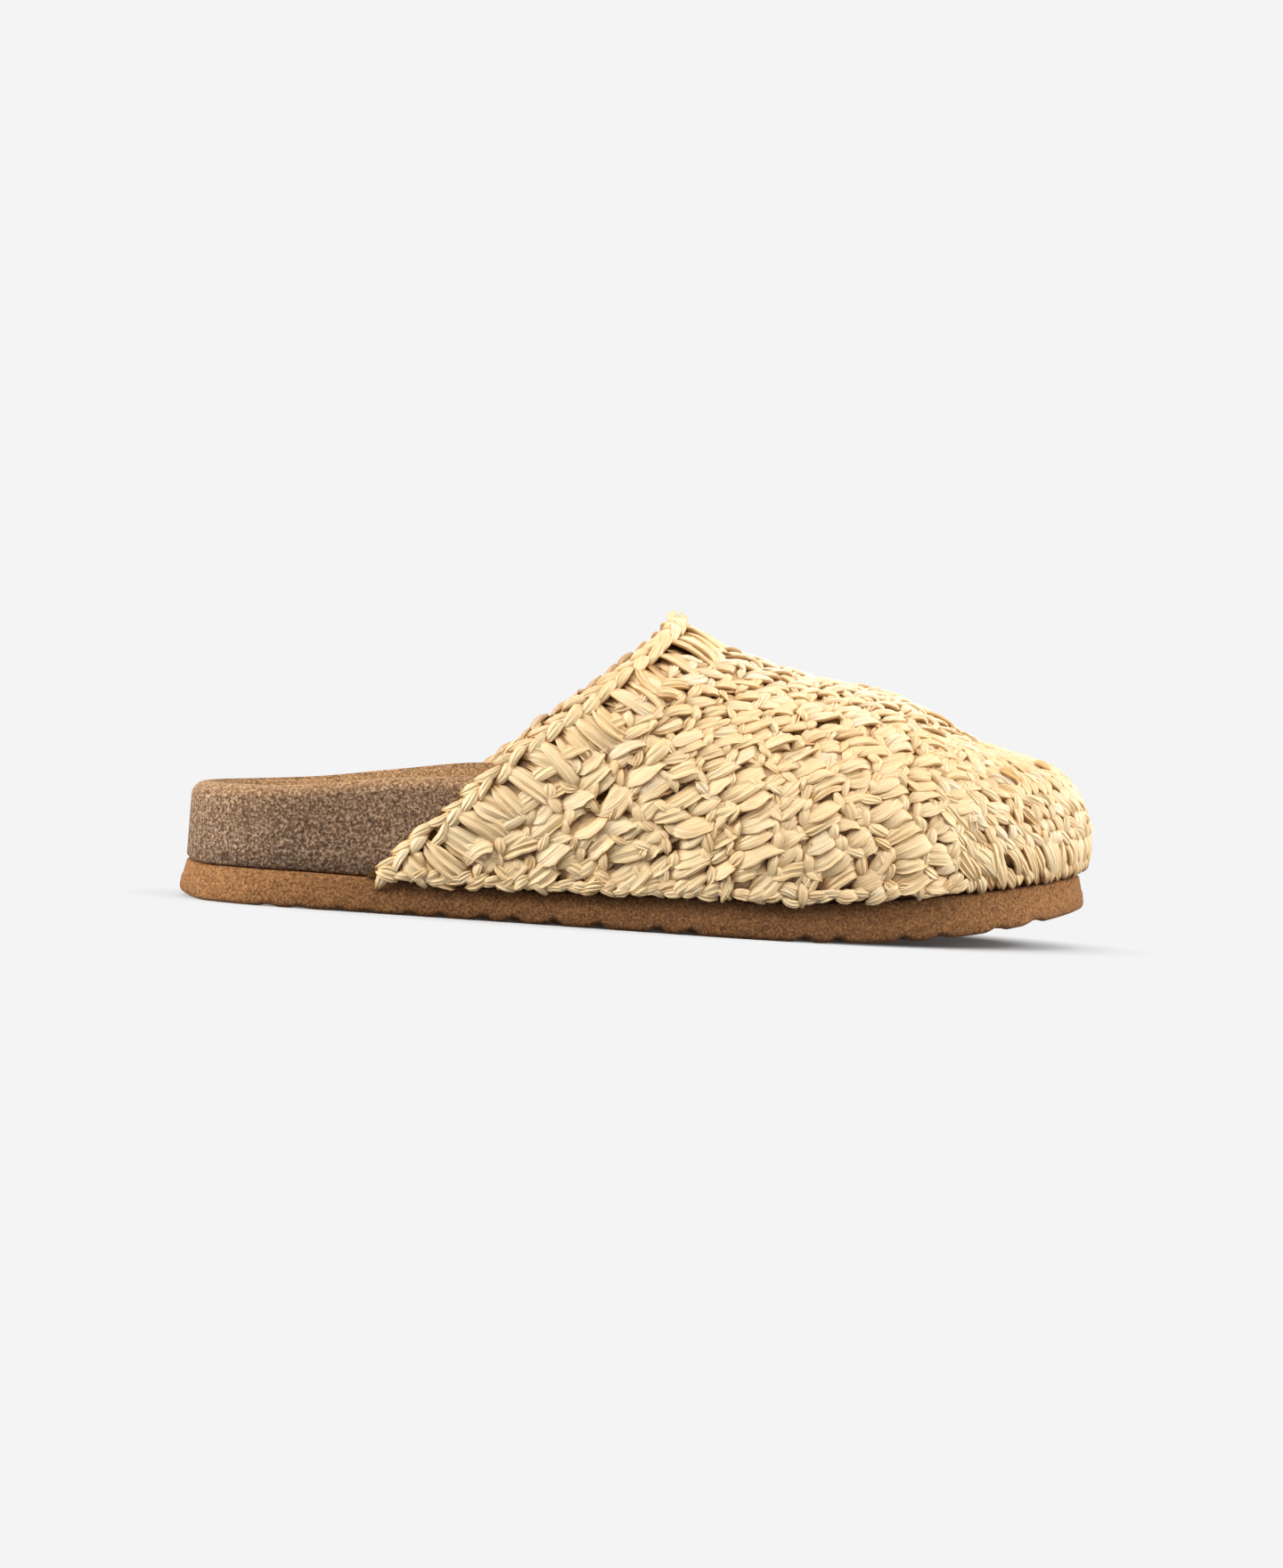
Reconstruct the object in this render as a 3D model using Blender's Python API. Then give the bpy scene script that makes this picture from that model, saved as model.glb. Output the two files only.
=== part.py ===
"""Woven slide sandal, a right shoe: crocheted raffia upper, suede insole, cork footbed and foam outsole.

Lengths are in millimetres: x from the heel end to the toe, y from the middle of the heel with the inner
side of the foot positive, z from the floor. Each table has one row for each section along the foot.
"""

import math
from collections import namedtuple

import bmesh
import bpy
import numpy as np

MM = 0.001

# Driving sizes
LENGTH = 259.2
HEEL_ROUND = 34.0
HEEL_POWER = 2.2
TOE_ROUND = 64.0
TOE_POWER = 2.3
HEEL_LIFT = 1.8
HEEL_FLAT = 9.0
TOE_BREAK = 176.0
TOE_SPRING_RADIUS = 300.0
GAP = 0.3

# Outsole
FLARE = 1.7
EDGE_BEVEL = 0.8
LUG_EDGE = 1.2
RIB_HEIGHT = 3.6
RIB_DEPTH = 0.5
GROOVE_DEPTH = 2.3
GROOVE_HALF_WIDTH = 3.4
GROOVE_WAVE = 2.6
TREAD_SHARES = (-0.6, -0.2, 0.2, 0.6)
OUTSOLE_STATIONS = 29
GROOVES = (26.0, 35.0, 46.5, 54.5, 67.0, 75.5, 88.0, 96.5, 108.0, 120.5, 137.5, 147.0,
           179.0, 188.5, 207.0, 217.5, 234.0, 245.0)

# Footbed and insole
FOOTBED_STATIONS = 33
RIM_RADIUS = 4.0
RIM_FLAT = 1.6
INSOLE_THICKNESS = 1.2
INSOLE_CLEARANCE = 0.015
RECESS = INSOLE_THICKNESS + GAP
BED_SHARES = (1.0, 0.9, 0.72, 0.48, 0.22)
BED_POWER = 2.6
BED_SHORTENING = 0.12
COLLAR_START = 24.0
COLLAR_FULL = 51.0
HEEL_INSET = 1.6
HEEL_DRAFT = 0.3
FRONT_INSET = 3.3
FRONT_DRAFT = 1.9

# Upper
WALL = 2.8
PATH_POINTS = 320
CROWN_POWER = 3.0
CROWN_ROUND = 20.0
COLLAR_REAR = 54.2
COLLAR_PEAK = 136.5
BAND_PEAK = 149.5
BAND_SHARE = 0.085
BRAID_COLUMNS = (0.0, 0.007, 0.0145, 0.022)
BAND_COLUMNS = (0.05, BAND_SHARE)
TOE_TOP = 222.0
FAN_START = 0.58
FIELD_COLUMNS = 34
ROWS = 14
HEM_SHARE = 0.042
INNER_ROWS = 9
ROW_RELIEF = 1.1
STITCH_RELIEF = 0.55
BAND_RELIEF = 1.2
BRAID_RELIEF = 1.9
HEM_RELIEF = 0.5
FULL_RELIEF_AREA = 4.0

PlanRow = namedtuple("PlanRow", "x centre half")
PLAN = (
    PlanRow(0.0, 0.0, 30.5),
    PlanRow(32.0, 0.0, 32.6),
    PlanRow(60.0, -0.8, 33.8),
    PlanRow(95.0, -3.2, 35.3),
    PlanRow(130.0, -3.0, 41.0),
    PlanRow(165.0, -1.5, 47.4),
    PlanRow(185.0, 0.5, 48.5),
    PlanRow(210.0, 2.6, 46.3),
    PlanRow(235.0, 5.6, 43.7),
    PlanRow(259.2, 9.5, 40.0),
)

SoleRow = namedtuple("SoleRow", "x thickness seat outer_rim inner_rim")
SOLE = (
    SoleRow(0.0, 9.8, 29.5, 33.0, 33.0),
    SoleRow(15.0, 10.2, 26.4, 33.5, 33.5),
    SoleRow(35.0, 10.3, 24.6, 34.8, 35.0),
    SoleRow(60.0, 9.8, 25.0, 38.2, 38.8),
    SoleRow(85.0, 9.4, 26.8, 39.8, 42.2),
    SoleRow(115.0, 9.5, 26.6, 37.0, 40.5),
    SoleRow(145.0, 10.5, 23.4, 30.8, 32.4),
    SoleRow(172.0, 10.8, 21.4, 27.2, 27.4),
    SoleRow(200.0, 11.9, 22.8, 27.6, 27.6),
    SoleRow(230.0, 11.7, 27.0, 31.8, 31.8),
    SoleRow(259.2, 9.6, 33.0, 37.0, 37.0),
)

UpperRow = namedtuple("UpperRow", "x ridge crown power")
UPPER = (
    UpperRow(50.0, 0.0, 94.0, 2.4),
    UpperRow(98.0, 0.5, 94.5, 2.3),
    UpperRow(120.0, 1.5, 90.0, 2.2),
    UpperRow(136.5, 3.0, 87.4, 2.1),
    UpperRow(149.0, 3.5, 79.8, 2.1),
    UpperRow(160.0, 4.0, 76.2, 2.1),
    UpperRow(180.0, 5.0, 71.2, 2.2),
    UpperRow(200.0, 6.0, 67.8, 2.3),
    UpperRow(211.0, 6.6, 63.2, 2.4),
    UpperRow(222.0, 7.2, 57.4, 2.5),
    UpperRow(235.0, 8.0, 53.8, 2.6),
    UpperRow(260.0, 9.5, 47.4, 2.6),
)


# Lines and forms of the shoe

def from_table(table, column, x):
    """A smooth curve through one column of a table, level past its ends."""
    knots = np.array([row.x for row in table])
    values = np.array([getattr(row, column) for row in table])
    slopes = np.gradient(values, knots)
    x = np.clip(x, knots[0], knots[-1])
    low = np.clip(np.searchsorted(knots, x) - 1, 0, len(knots) - 2)
    span = knots[low + 1] - knots[low]
    t = (x - knots[low]) / span
    rise = values[low + 1] - values[low]
    start = slopes[low] * span - rise
    end = rise - slopes[low + 1] * span
    return values[low] + t * rise + t * (1 - t) * (start * (1 - t) + end * t)


def smooth_step(value, low, high):
    t = np.clip((value - low) / (high - low), 0.0, 1.0)
    return t * t * (3 - 2 * t)


def round_end(x, start, end, power):
    """How much of the full size is left on the way from start to a rounded end."""
    t = np.clip((x - start) / (end - start), 0.0, 1.0)
    return (1 - t ** power) ** (1 / power)


def outline(along, side, inset):
    """Points of the sole's outline moved in by an inset; along runs from 0 to LENGTH."""
    cap = round_end(along, HEEL_ROUND, 0.0, HEEL_POWER)
    cap = cap * round_end(along, LENGTH - TOE_ROUND, LENGTH, TOE_POWER)
    x = inset + along * (LENGTH - 2 * inset) / LENGTH
    half = (from_table(PLAN, "half", along) - inset) * cap
    return x, from_table(PLAN, "centre", along) + side * half


def edge(x, side, inset):
    """The outline's y at a place along the shoe."""
    along = np.clip((x - inset) * LENGTH / (LENGTH - 2 * inset), 0.0, LENGTH)
    return outline(along, side, inset)[1]


def ground(x):
    """The tread's height over the floor: heel bevel, flat sole, toe spring."""
    heel = HEEL_LIFT * np.clip(1 - x / HEEL_FLAT, 0.0, 1.0) ** 2
    past = np.clip(x - TOE_BREAK, 0.0, None)
    return heel + TOE_SPRING_RADIUS - np.sqrt(TOE_SPRING_RADIUS ** 2 - past ** 2)


def outsole_top(x):
    return ground(x) + from_table(SOLE, "thickness", x)


def hem(x):
    return outsole_top(x) + GAP


def crown(x, inset):
    """Height of the upper's ridge, rounded down over the toe."""
    tip = LENGTH - inset
    full = from_table(UPPER, "crown", x) - inset - hem(x)
    return hem(x) + full * round_end(x, tip - CROWN_ROUND, tip, CROWN_POWER)


def arch_height(u, power):
    return (1 - np.clip(u, 0.0, 1.0) ** power) ** (1 / power)


def upper_height(x, y, inset):
    """The upper's surface over a point of the plan."""
    ridge = from_table(UPPER, "ridge", x)
    side = np.where(y < ridge, -1.0, 1.0)
    reach = np.maximum(np.abs(edge(x, side, inset) - ridge), 1e-6)
    rise = arch_height(np.abs(y - ridge) / reach, from_table(UPPER, "power", x))
    return hem(x) + (crown(x, inset) - hem(x)) * rise


# The upper's own function

def hem_line(side, inset):
    """The hem from the rear of the collar to the toe tip: dense points and the length up to each."""
    start = (COLLAR_REAR - inset) * LENGTH / (LENGTH - 2 * inset)
    spread = 1 - np.cos(np.linspace(0.0, math.pi / 2, PATH_POINTS))
    along = LENGTH - (LENGTH - start) * spread[::-1]
    x, y = outline(along, side, inset)
    steps = np.hypot(np.diff(x), np.diff(y))
    return x, y, np.concatenate(([0.0], np.cumsum(steps)))


def upper_path(share, side, inset, heights):
    """Points up the upper from the hem to its ridge, at the given shares of the path's length.

    share runs from 0 at the collar to 1 at the toe tip. Paths lean forward from hem to ridge.
    """
    hem_x, hem_y, lengths = hem_line(side, inset)
    place = share * lengths[-1]
    foot_x = np.interp(place, lengths, hem_x)
    foot_y = np.interp(place, lengths, hem_y)
    top_x = np.interp(share, (0.0, BAND_SHARE, 1.0), (COLLAR_PEAK, BAND_PEAK, TOE_TOP))
    top_y = from_table(UPPER, "ridge", top_x)
    fan = smooth_step(share, FAN_START, 1.0)

    inward = np.linspace(0.0, 1.0, PATH_POINTS) ** 3
    climb = arch_height(1 - inward, from_table(UPPER, "power", foot_x))
    x = foot_x + (top_x - foot_x) * ((1 - fan) * climb + fan * inward)
    ridge = from_table(UPPER, "ridge", x)
    along_wall = ridge + (1 - inward) * (edge(x, side, inset) - ridge)
    straight = foot_y + (top_y - foot_y) * inward
    y = (1 - fan) * along_wall + fan * straight
    points = np.stack((x, y, upper_height(x, y, inset)), axis=1)

    steps = np.linalg.norm(np.diff(points, axis=0), axis=1)
    travelled = np.concatenate(([0.0], np.cumsum(steps)))
    wanted = np.asarray(heights) * travelled[-1]
    return np.stack([np.interp(wanted, travelled, points[:, k]) for k in range(3)], axis=1)


def upper_grid(shares, heights, inset):
    """Paths from the outer collar round the toe to the inner collar."""
    outer_side = [upper_path(share, -1.0, inset, heights) for share in shares]
    inner_side = [upper_path(share, 1.0, inset, heights) for share in reversed(shares[:-1])]
    return np.array(outer_side + inner_side)


# Mesh building

class Shell:
    """Vertices and faces of one closed body, in millimetres."""

    def __init__(self):
        self.points = []
        self.faces = []

    def add(self, points):
        first = len(self.points)
        self.points.extend(tuple(float(c) for c in point) for point in points)
        return list(range(first, len(self.points)))

    def face(self, corners):
        kept = [c for k, c in enumerate(corners) if c != corners[k - 1]]
        if len(kept) > 2:
            self.faces.append(kept)

    def bridge(self, ring, other, closed=True):
        count = len(ring)
        for k in range(count if closed else count - 1):
            after = (k + 1) % count
            self.face((ring[k], ring[after], other[after], other[k]))

    def join_rows(self, ring, other):
        """Triangles between two open rows that may differ in number."""
        i = j = 0
        while i < len(ring) - 1 or j < len(other) - 1:
            step_first = (i + 1) / len(ring) <= (j + 1) / len(other)
            if j == len(other) - 1 or (step_first and i < len(ring) - 1):
                self.face((ring[i], ring[i + 1], other[j]))
                i += 1
            else:
                self.face((ring[i], other[j + 1], other[j]))
                j += 1

    def fill(self, rows):
        """Faces between rows across the shoe; a row of one point is a pointed end."""
        for row, after in zip(rows, rows[1:]):
            if len(row) == 1:
                row = row * len(after)
            if len(after) == 1:
                after = after * len(row)
            self.bridge(row, after, closed=False)

    def build(self, name, material, parent, sharp_degrees):
        mesh = bpy.data.meshes.new(name)
        mesh.from_pydata([tuple(c * MM for c in point) for point in self.points], [], self.faces)
        work = bmesh.new()
        work.from_mesh(mesh)
        bmesh.ops.recalc_face_normals(work, faces=work.faces)
        work.to_mesh(mesh)
        work.free()
        mesh.shade_smooth()
        mesh.set_sharp_from_angle(angle=math.radians(sharp_degrees))
        mesh.materials.append(material)
        body = bpy.data.objects.new(name, mesh)
        body.parent = parent
        bpy.context.scene.collection.objects.link(body)
        return body


def ring_points(stations, inset, height):
    """A closed loop round the outline: outer side from heel to toe, then inner side back to the heel."""
    outer_x, outer_y = outline(stations, -1.0, inset)
    inner_x, inner_y = outline(stations, 1.0, inset)
    outer = np.stack((outer_x, outer_y, height(outer_x, -1.0)), axis=1)
    inner = np.stack((inner_x, inner_y, height(inner_x, 1.0)), axis=1)
    return np.concatenate((outer, inner[-2:0:-1]))


def across_rows(ring, middles=None):
    """Rows from the outer to the inner side of a closed loop, with points between them where given."""
    half = len(ring) // 2
    rows = [[ring[0]]]
    for k in range(1, half):
        between = middles[k - 1] if middles else []
        rows.append([ring[k]] + between + [ring[-k]])
    return rows + [[ring[half]]]


def cosine_stations(count):
    return LENGTH * (0.5 - 0.5 * np.cos(np.linspace(0.0, math.pi, count)))


# Sub-parts

def groove_depth(x):
    """How far the tread's grooves lift the tread at a station."""
    distance = np.min(np.abs(np.subtract.outer(x, GROOVES)), axis=1)
    return GROOVE_DEPTH * np.clip(1 - distance / GROOVE_HALF_WIDTH, 0.0, 1.0)


def outsole_stations():
    edges = [x + shift for x in GROOVES for shift in (-GROOVE_HALF_WIDTH, 0.0, GROOVE_HALF_WIDTH)]
    clearance = 0.7 * GROOVE_HALF_WIDTH
    clear = [x for x in cosine_stations(OUTSOLE_STATIONS) if min(abs(x - e) for e in edges) > clearance]
    return np.array(sorted(set(edges) | set(clear)))


def make_outsole(material, parent):
    """Foam outsole: flared side with one rib, lugged tread with wavy grooves."""
    stations = outsole_stations()
    depth = groove_depth(stations)

    def lifted(extra):
        return lambda x, side: ground(x) + depth + extra

    shell = Shell()
    tread = shell.add(ring_points(stations, EDGE_BEVEL, lifted(0.0)))
    lower = shell.add(ring_points(stations, 0.0, lifted(LUG_EDGE)))
    rib = shell.add(ring_points(stations, FLARE * 0.3, lambda x, side: ground(x) + RIB_HEIGHT + LUG_EDGE))
    step = shell.add(ring_points(stations, FLARE * 0.3 + RIB_DEPTH,
                                 lambda x, side: ground(x) + RIB_HEIGHT + 2 * LUG_EDGE))
    top = shell.add(ring_points(stations, FLARE, lambda x, side: outsole_top(x)))
    for ring, after in ((tread, lower), (lower, rib), (rib, step), (step, top)):
        shell.bridge(ring, after)
    shell.fill(across_rows(top))

    middles = []
    for station, lift in zip(stations[1:-1], depth[1:-1]):
        calm = smooth_step(station, 0.0, HEEL_ROUND) * smooth_step(station, LENGTH, LENGTH - HEEL_ROUND)
        row = []
        for share in TREAD_SHARES:
            along = station - calm * GROOVE_WAVE * (1 - math.cos(2 * math.pi * share))
            outer_x, outer_y = outline(np.array([along]), -1.0, EDGE_BEVEL)
            inner_y = outline(np.array([along]), 1.0, EDGE_BEVEL)[1]
            y = (outer_y + inner_y) / 2 + share * (inner_y - outer_y) / 2
            row.append((outer_x[0], y[0], ground(outer_x)[0] + lift))
        middles.append(shell.add(row))
    shell.fill(across_rows(tread, middles))
    return shell.build("outsole", material, parent, 30)


def footbed_inset(x, height_share):
    """The footbed's side stands back from the outline, more so under the upper's wall."""
    covered = smooth_step(x, COLLAR_START, COLLAR_FULL)
    foot = HEEL_INSET + (FRONT_INSET - HEEL_INSET) * covered
    draft = HEEL_DRAFT + (FRONT_DRAFT - HEEL_DRAFT) * covered
    return foot + draft * height_share


def rim(x, side):
    return from_table(SOLE, "outer_rim" if side < 0 else "inner_rim", x)


def footbed_ring(stations, height_share, extra_inset, height):
    """A loop round the footbed, whose inset changes along the shoe."""
    inset = footbed_inset(stations, height_share) + extra_inset
    return ring_points(stations, inset, height)


def bed_ring(stations, share, drop):
    """A loop on the foot's bed, at a share of the way from its seat in the middle up to the rim."""
    inset = footbed_inset(stations, 1.0) + RIM_RADIUS + RIM_FLAT
    ring = ring_points(stations, inset, rim)
    middle = from_table(PLAN, "centre", np.concatenate((stations, stations[-2:0:-1])))
    ring[:, 0] = LENGTH / 2 + (ring[:, 0] - LENGTH / 2) * (1 - BED_SHORTENING * (1 - share))
    ring[:, 1] = middle + (ring[:, 1] - middle) * share
    seat = from_table(SOLE, "seat", ring[:, 0])
    ring[:, 2] = seat + (ring[:, 2] - seat) * share ** BED_POWER - drop
    return ring


def make_footbed(material, parent):
    """Cork footbed: upright side, rounded rim, cupped bed let in for the insole."""
    stations = cosine_stations(FOOTBED_STATIONS)
    turn = RIM_RADIUS * (1 - math.sqrt(0.5))
    shell = Shell()
    rings = [
        footbed_ring(stations, 0.0, EDGE_BEVEL, lambda x, side: hem(x)),
        footbed_ring(stations, 0.0, 0.0, lambda x, side: hem(x) + EDGE_BEVEL),
        footbed_ring(stations, 0.5, 0.0, lambda x, side: (hem(x) + rim(x, side)) / 2),
        footbed_ring(stations, 1.0, 0.0, lambda x, side: rim(x, side) - RIM_RADIUS),
        footbed_ring(stations, 1.0, turn, lambda x, side: rim(x, side) - turn),
        footbed_ring(stations, 1.0, RIM_RADIUS, rim),
        bed_ring(stations, 1.0, 0.0),
    ]
    rings.extend(bed_ring(stations, share, RECESS) for share in BED_SHARES)
    loops = [shell.add(ring) for ring in rings]
    for ring, after in zip(loops, loops[1:]):
        shell.bridge(ring, after)
    shell.fill(across_rows(loops[0]))
    shell.fill(across_rows(loops[-1]))
    return shell.build("footbed", material, parent, 40)


def make_insole(material, parent):
    """Suede sock lining laid into the footbed's recess."""
    stations = cosine_stations(FOOTBED_STATIONS)
    shares = (BED_SHARES[0] - INSOLE_CLEARANCE,) + BED_SHARES[1:]
    shell = Shell()
    under = [shell.add(bed_ring(stations, share, INSOLE_THICKNESS)) for share in reversed(shares)]
    over = [shell.add(bed_ring(stations, share, 0.0)) for share in shares]
    loops = under + over
    for ring, after in zip(loops, loops[1:]):
        shell.bridge(ring, after)
    shell.fill(across_rows(loops[0]))
    shell.fill(across_rows(loops[-1]))
    return shell.build("insole", material, parent, 40)


def stitch_relief(column, row, last_column):
    """How far a grid point stands out of the wall: braid, band and stitches of the rows."""
    place = min(column, last_column - column)
    if row == 0:
        return -HEM_RELIEF
    if place < len(BRAID_COLUMNS):
        crest = 0 < place < len(BRAID_COLUMNS) - 1
        link = 1.0 if (row + place) % 2 else 0.6
        return BRAID_RELIEF * link if crest else 0.3
    if row <= 2:
        return HEM_RELIEF if row == 1 else 0.0
    if place < len(BRAID_COLUMNS) + 1:
        return BAND_RELIEF if row % 2 else BAND_RELIEF * 0.3
    if place < len(BRAID_COLUMNS) + len(BAND_COLUMNS):
        return 0.0
    if row % 2 == 0:
        return 0.0
    raised = (column + row // 2) % 2 == 0
    return ROW_RELIEF if raised else ROW_RELIEF - STITCH_RELIEF


def grid_normals(grid):
    """Outward normals of a grid of points, and the area that each point stands for."""
    along = np.gradient(grid, axis=0)
    up = np.gradient(grid, axis=1)
    normal = np.cross(along, up)
    area = np.maximum(np.linalg.norm(normal, axis=2), 1e-9)
    return normal / area[:, :, None], area


def add_grid(shell, grid):
    """A grid's points, joined along the ridge where outer and inner side meet."""
    last = len(grid) - 1
    columns = []
    for k, path in enumerate(grid):
        if k <= last - k:
            columns.append(shell.add(path))
        else:
            columns.append(shell.add(path[:-1]) + [columns[last - k][-1]])
    return columns


def make_upper(material, parent):
    """Crocheted upper: one wall, open at the collar and underneath, with its rows of stitches raised."""
    field = np.linspace(BAND_SHARE, 1.0, FIELD_COLUMNS + 1)[1:]
    shares = list(BRAID_COLUMNS) + list(BAND_COLUMNS) + list(field)
    heights = [0.0, HEM_SHARE / 2] + list(np.linspace(HEM_SHARE, 1.0, 2 * ROWS + 1))
    outer = upper_grid(shares, heights, 0.0)
    last_column = len(outer) - 1
    normals, area = grid_normals(outer)
    last_row = len(heights) - 1
    for k in range(len(outer)):
        normals[k, last_row] = normals[k, last_row] + normals[last_column - k, last_row]
        normals[k, last_row] /= max(np.linalg.norm(normals[k, last_row]), 1e-9)
    relief = np.array([[stitch_relief(k, row, last_column) for row in range(len(heights))]
                       for k in range(len(outer))])
    relief = relief * np.clip(area / FULL_RELIEF_AREA, 0.0, 1.0)
    outer = outer + normals * relief[:, :, None]
    outer[:, 0, 2] = hem(outer[:, 0, 0])
    inner = upper_grid(shares, np.linspace(0.0, 1.0, INNER_ROWS), WALL)

    shell = Shell()
    skin = add_grid(shell, outer)
    lining = add_grid(shell, inner)
    for grid in (skin, lining):
        for path, after in zip(grid, grid[1:]):
            shell.bridge(path, after, closed=False)
    shell.bridge([path[0] for path in skin], [path[0] for path in lining], closed=False)
    shell.join_rows(skin[0], lining[0])
    shell.join_rows(skin[-1], lining[-1])
    return shell.build("upper", material, parent, 25)


# Scene

def make_material(name, colour, roughness):
    material = bpy.data.materials.new(name)
    material.use_nodes = True
    shader = material.node_tree.nodes["Principled BSDF"]
    shader.inputs["Base Color"].default_value = (*colour, 1.0)
    shader.inputs["Roughness"].default_value = roughness
    shader.inputs["Metallic"].default_value = 0.0
    return material


def centre_on_floor(root, bodies):
    """Moves the shoe so that the middle of its box stands on the origin."""
    corners = np.array([vertex.co for body in bodies for vertex in body.data.vertices])
    middle = (corners.min(axis=0) + corners.max(axis=0)) / 2
    root.location = (-middle[0], -middle[1], -corners[:, 2].min())


def main():
    for body in list(bpy.data.objects):
        bpy.data.objects.remove(body)
    root = bpy.data.objects.new("shoe", None)
    bpy.context.scene.collection.objects.link(root)
    bodies = (
        make_outsole(make_material("tan foam", (0.34, 0.20, 0.10), 0.8), root),
        make_footbed(make_material("cork", (0.36, 0.24, 0.15), 0.9), root),
        make_insole(make_material("suede", (0.50, 0.32, 0.17), 0.95), root),
        make_upper(make_material("raffia", (0.75, 0.56, 0.31), 0.6), root),
    )
    centre_on_floor(root, bodies)


main()
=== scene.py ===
"""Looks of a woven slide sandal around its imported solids: crocheted raffia, suede, cork and foam.

Shoe lengths are in millimetres: x from the heel end to the toe, y from the middle of the heel with the inner
side of the foot positive, z from the floor. The tables and form functions are those of the solids' source.
"""

import math
from collections import namedtuple

import bmesh
import bpy
import numpy as np
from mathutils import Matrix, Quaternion, Vector


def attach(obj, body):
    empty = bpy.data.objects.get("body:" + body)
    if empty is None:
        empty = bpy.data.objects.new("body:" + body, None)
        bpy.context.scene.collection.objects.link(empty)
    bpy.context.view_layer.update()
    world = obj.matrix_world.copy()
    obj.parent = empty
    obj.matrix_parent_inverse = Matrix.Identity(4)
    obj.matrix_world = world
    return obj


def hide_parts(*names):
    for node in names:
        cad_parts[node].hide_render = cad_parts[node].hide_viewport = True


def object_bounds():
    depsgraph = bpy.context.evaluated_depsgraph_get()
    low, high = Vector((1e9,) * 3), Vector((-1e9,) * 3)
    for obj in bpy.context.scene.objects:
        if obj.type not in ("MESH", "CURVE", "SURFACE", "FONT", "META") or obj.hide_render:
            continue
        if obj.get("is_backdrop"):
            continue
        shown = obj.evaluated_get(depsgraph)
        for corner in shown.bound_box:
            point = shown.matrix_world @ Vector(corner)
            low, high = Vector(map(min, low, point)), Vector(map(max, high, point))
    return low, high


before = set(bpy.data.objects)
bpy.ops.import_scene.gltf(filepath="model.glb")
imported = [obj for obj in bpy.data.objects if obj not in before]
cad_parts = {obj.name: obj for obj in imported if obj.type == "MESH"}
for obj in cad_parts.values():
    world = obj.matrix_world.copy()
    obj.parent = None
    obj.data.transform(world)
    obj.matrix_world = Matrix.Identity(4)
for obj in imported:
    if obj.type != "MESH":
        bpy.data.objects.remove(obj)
cad_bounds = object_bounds()

MM = 0.001

# Driving sizes, as in the solids
LENGTH = 259.2
HEEL_ROUND = 34.0
HEEL_POWER = 2.2
TOE_ROUND = 64.0
TOE_POWER = 2.3
HEEL_LIFT = 1.8
HEEL_FLAT = 9.0
TOE_BREAK = 176.0
TOE_SPRING_RADIUS = 300.0
GAP = 0.3

# Outsole
FLARE = 1.7
EDGE_BEVEL = 0.8
LUG_EDGE = 1.2
RIB_HEIGHT = 3.6
RIB_DEPTH = 0.5
GROOVE_DEPTH = 2.3
GROOVE_HALF_WIDTH = 3.4
GROOVE_WAVE = 2.6
GROOVES = (26.0, 35.0, 46.5, 54.5, 67.0, 75.5, 88.0, 96.5, 108.0, 120.5, 137.5, 147.0,
           179.0, 188.5, 207.0, 217.5, 234.0, 245.0)
SOLE_STATIONS = 241
TREAD_ACROSS = 9
TREAD_REACH = 0.8
LIP = 0.6
# Loops up the outsole's side: inset, height over the tread, and share of the grooves' depth there
RIB = RIB_HEIGHT + LUG_EDGE
SIDE_LOOPS = (
    (EDGE_BEVEL * 1.6, 0.0, 1.0),
    (EDGE_BEVEL * 0.5, 0.3, 1.0),
    (EDGE_BEVEL * 0.1, 0.9, 0.95),
    (0.05, LUG_EDGE + 0.4, 0.8),
    (FLARE * 0.2, RIB - 1.0, 0.2),
    (FLARE * 0.3, RIB - 0.3, 0.0),
    (FLARE * 0.3 + RIB_DEPTH * 0.6, RIB + 0.4, 0.0),
    (FLARE * 0.3 + RIB_DEPTH, RIB + LUG_EDGE, 0.0),
)
# How much of the grooves' depth shows at the sole's edge, by place along the shoe: least at the heel
EDGE_PLACES = (55.0, 100.0, 190.0, 230.0)
EDGE_DEPTHS = (0.3, 0.75, 0.75, 0.45)
# Painted shade on the foam's side: where it darkens and pales again along the shoe, darkest toward the
# bottom, and how much of it reaches the top of its side
DARKENS = (10.0, 90.0)
PALES = (205.0, 255.0)
DARK_TOP = 0.6

# Footbed and insole
RIM_RADIUS = 4.0
RIM_FLAT = 1.6
RIM_STEPS = 7
INSOLE_THICKNESS = 1.2
INSOLE_CLEARANCE = 0.015
RECESS = INSOLE_THICKNESS + GAP
BED_SHARES = (1.0, 0.95, 0.9, 0.81, 0.72, 0.6, 0.48, 0.35, 0.22)
BED_POWER = 2.6
BED_SHORTENING = 0.12
COLLAR_START = 24.0
COLLAR_FULL = 51.0
HEEL_INSET = 1.6
HEEL_DRAFT = 0.3
FRONT_INSET = 3.3
FRONT_DRAFT = 1.9
BED_STATIONS = 141
SIDE_SHARES = (0.0, 0.25, 0.5, 0.75)
RIM_TONES = (0.0, 0.0, 0.0, 0.05, 0.15, 0.25, 0.35, 0.5, 0.65, 0.8, 0.95, 1.0)

# Upper
WALL = 2.8
WALL_SKIN = 1.25
WALL_PATHS = 61
WALL_ROWS = 25
PATH_POINTS = 320
SHARE_STEPS = 401
CROWN_POWER = 3.0
CROWN_ROUND = 20.0
COLLAR_REAR = 54.2
COLLAR_PEAK = 136.5
BAND_PEAK = 149.5
BAND_SHARE = 0.085
TOE_TOP = 222.0
FAN_START = 0.58

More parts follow.
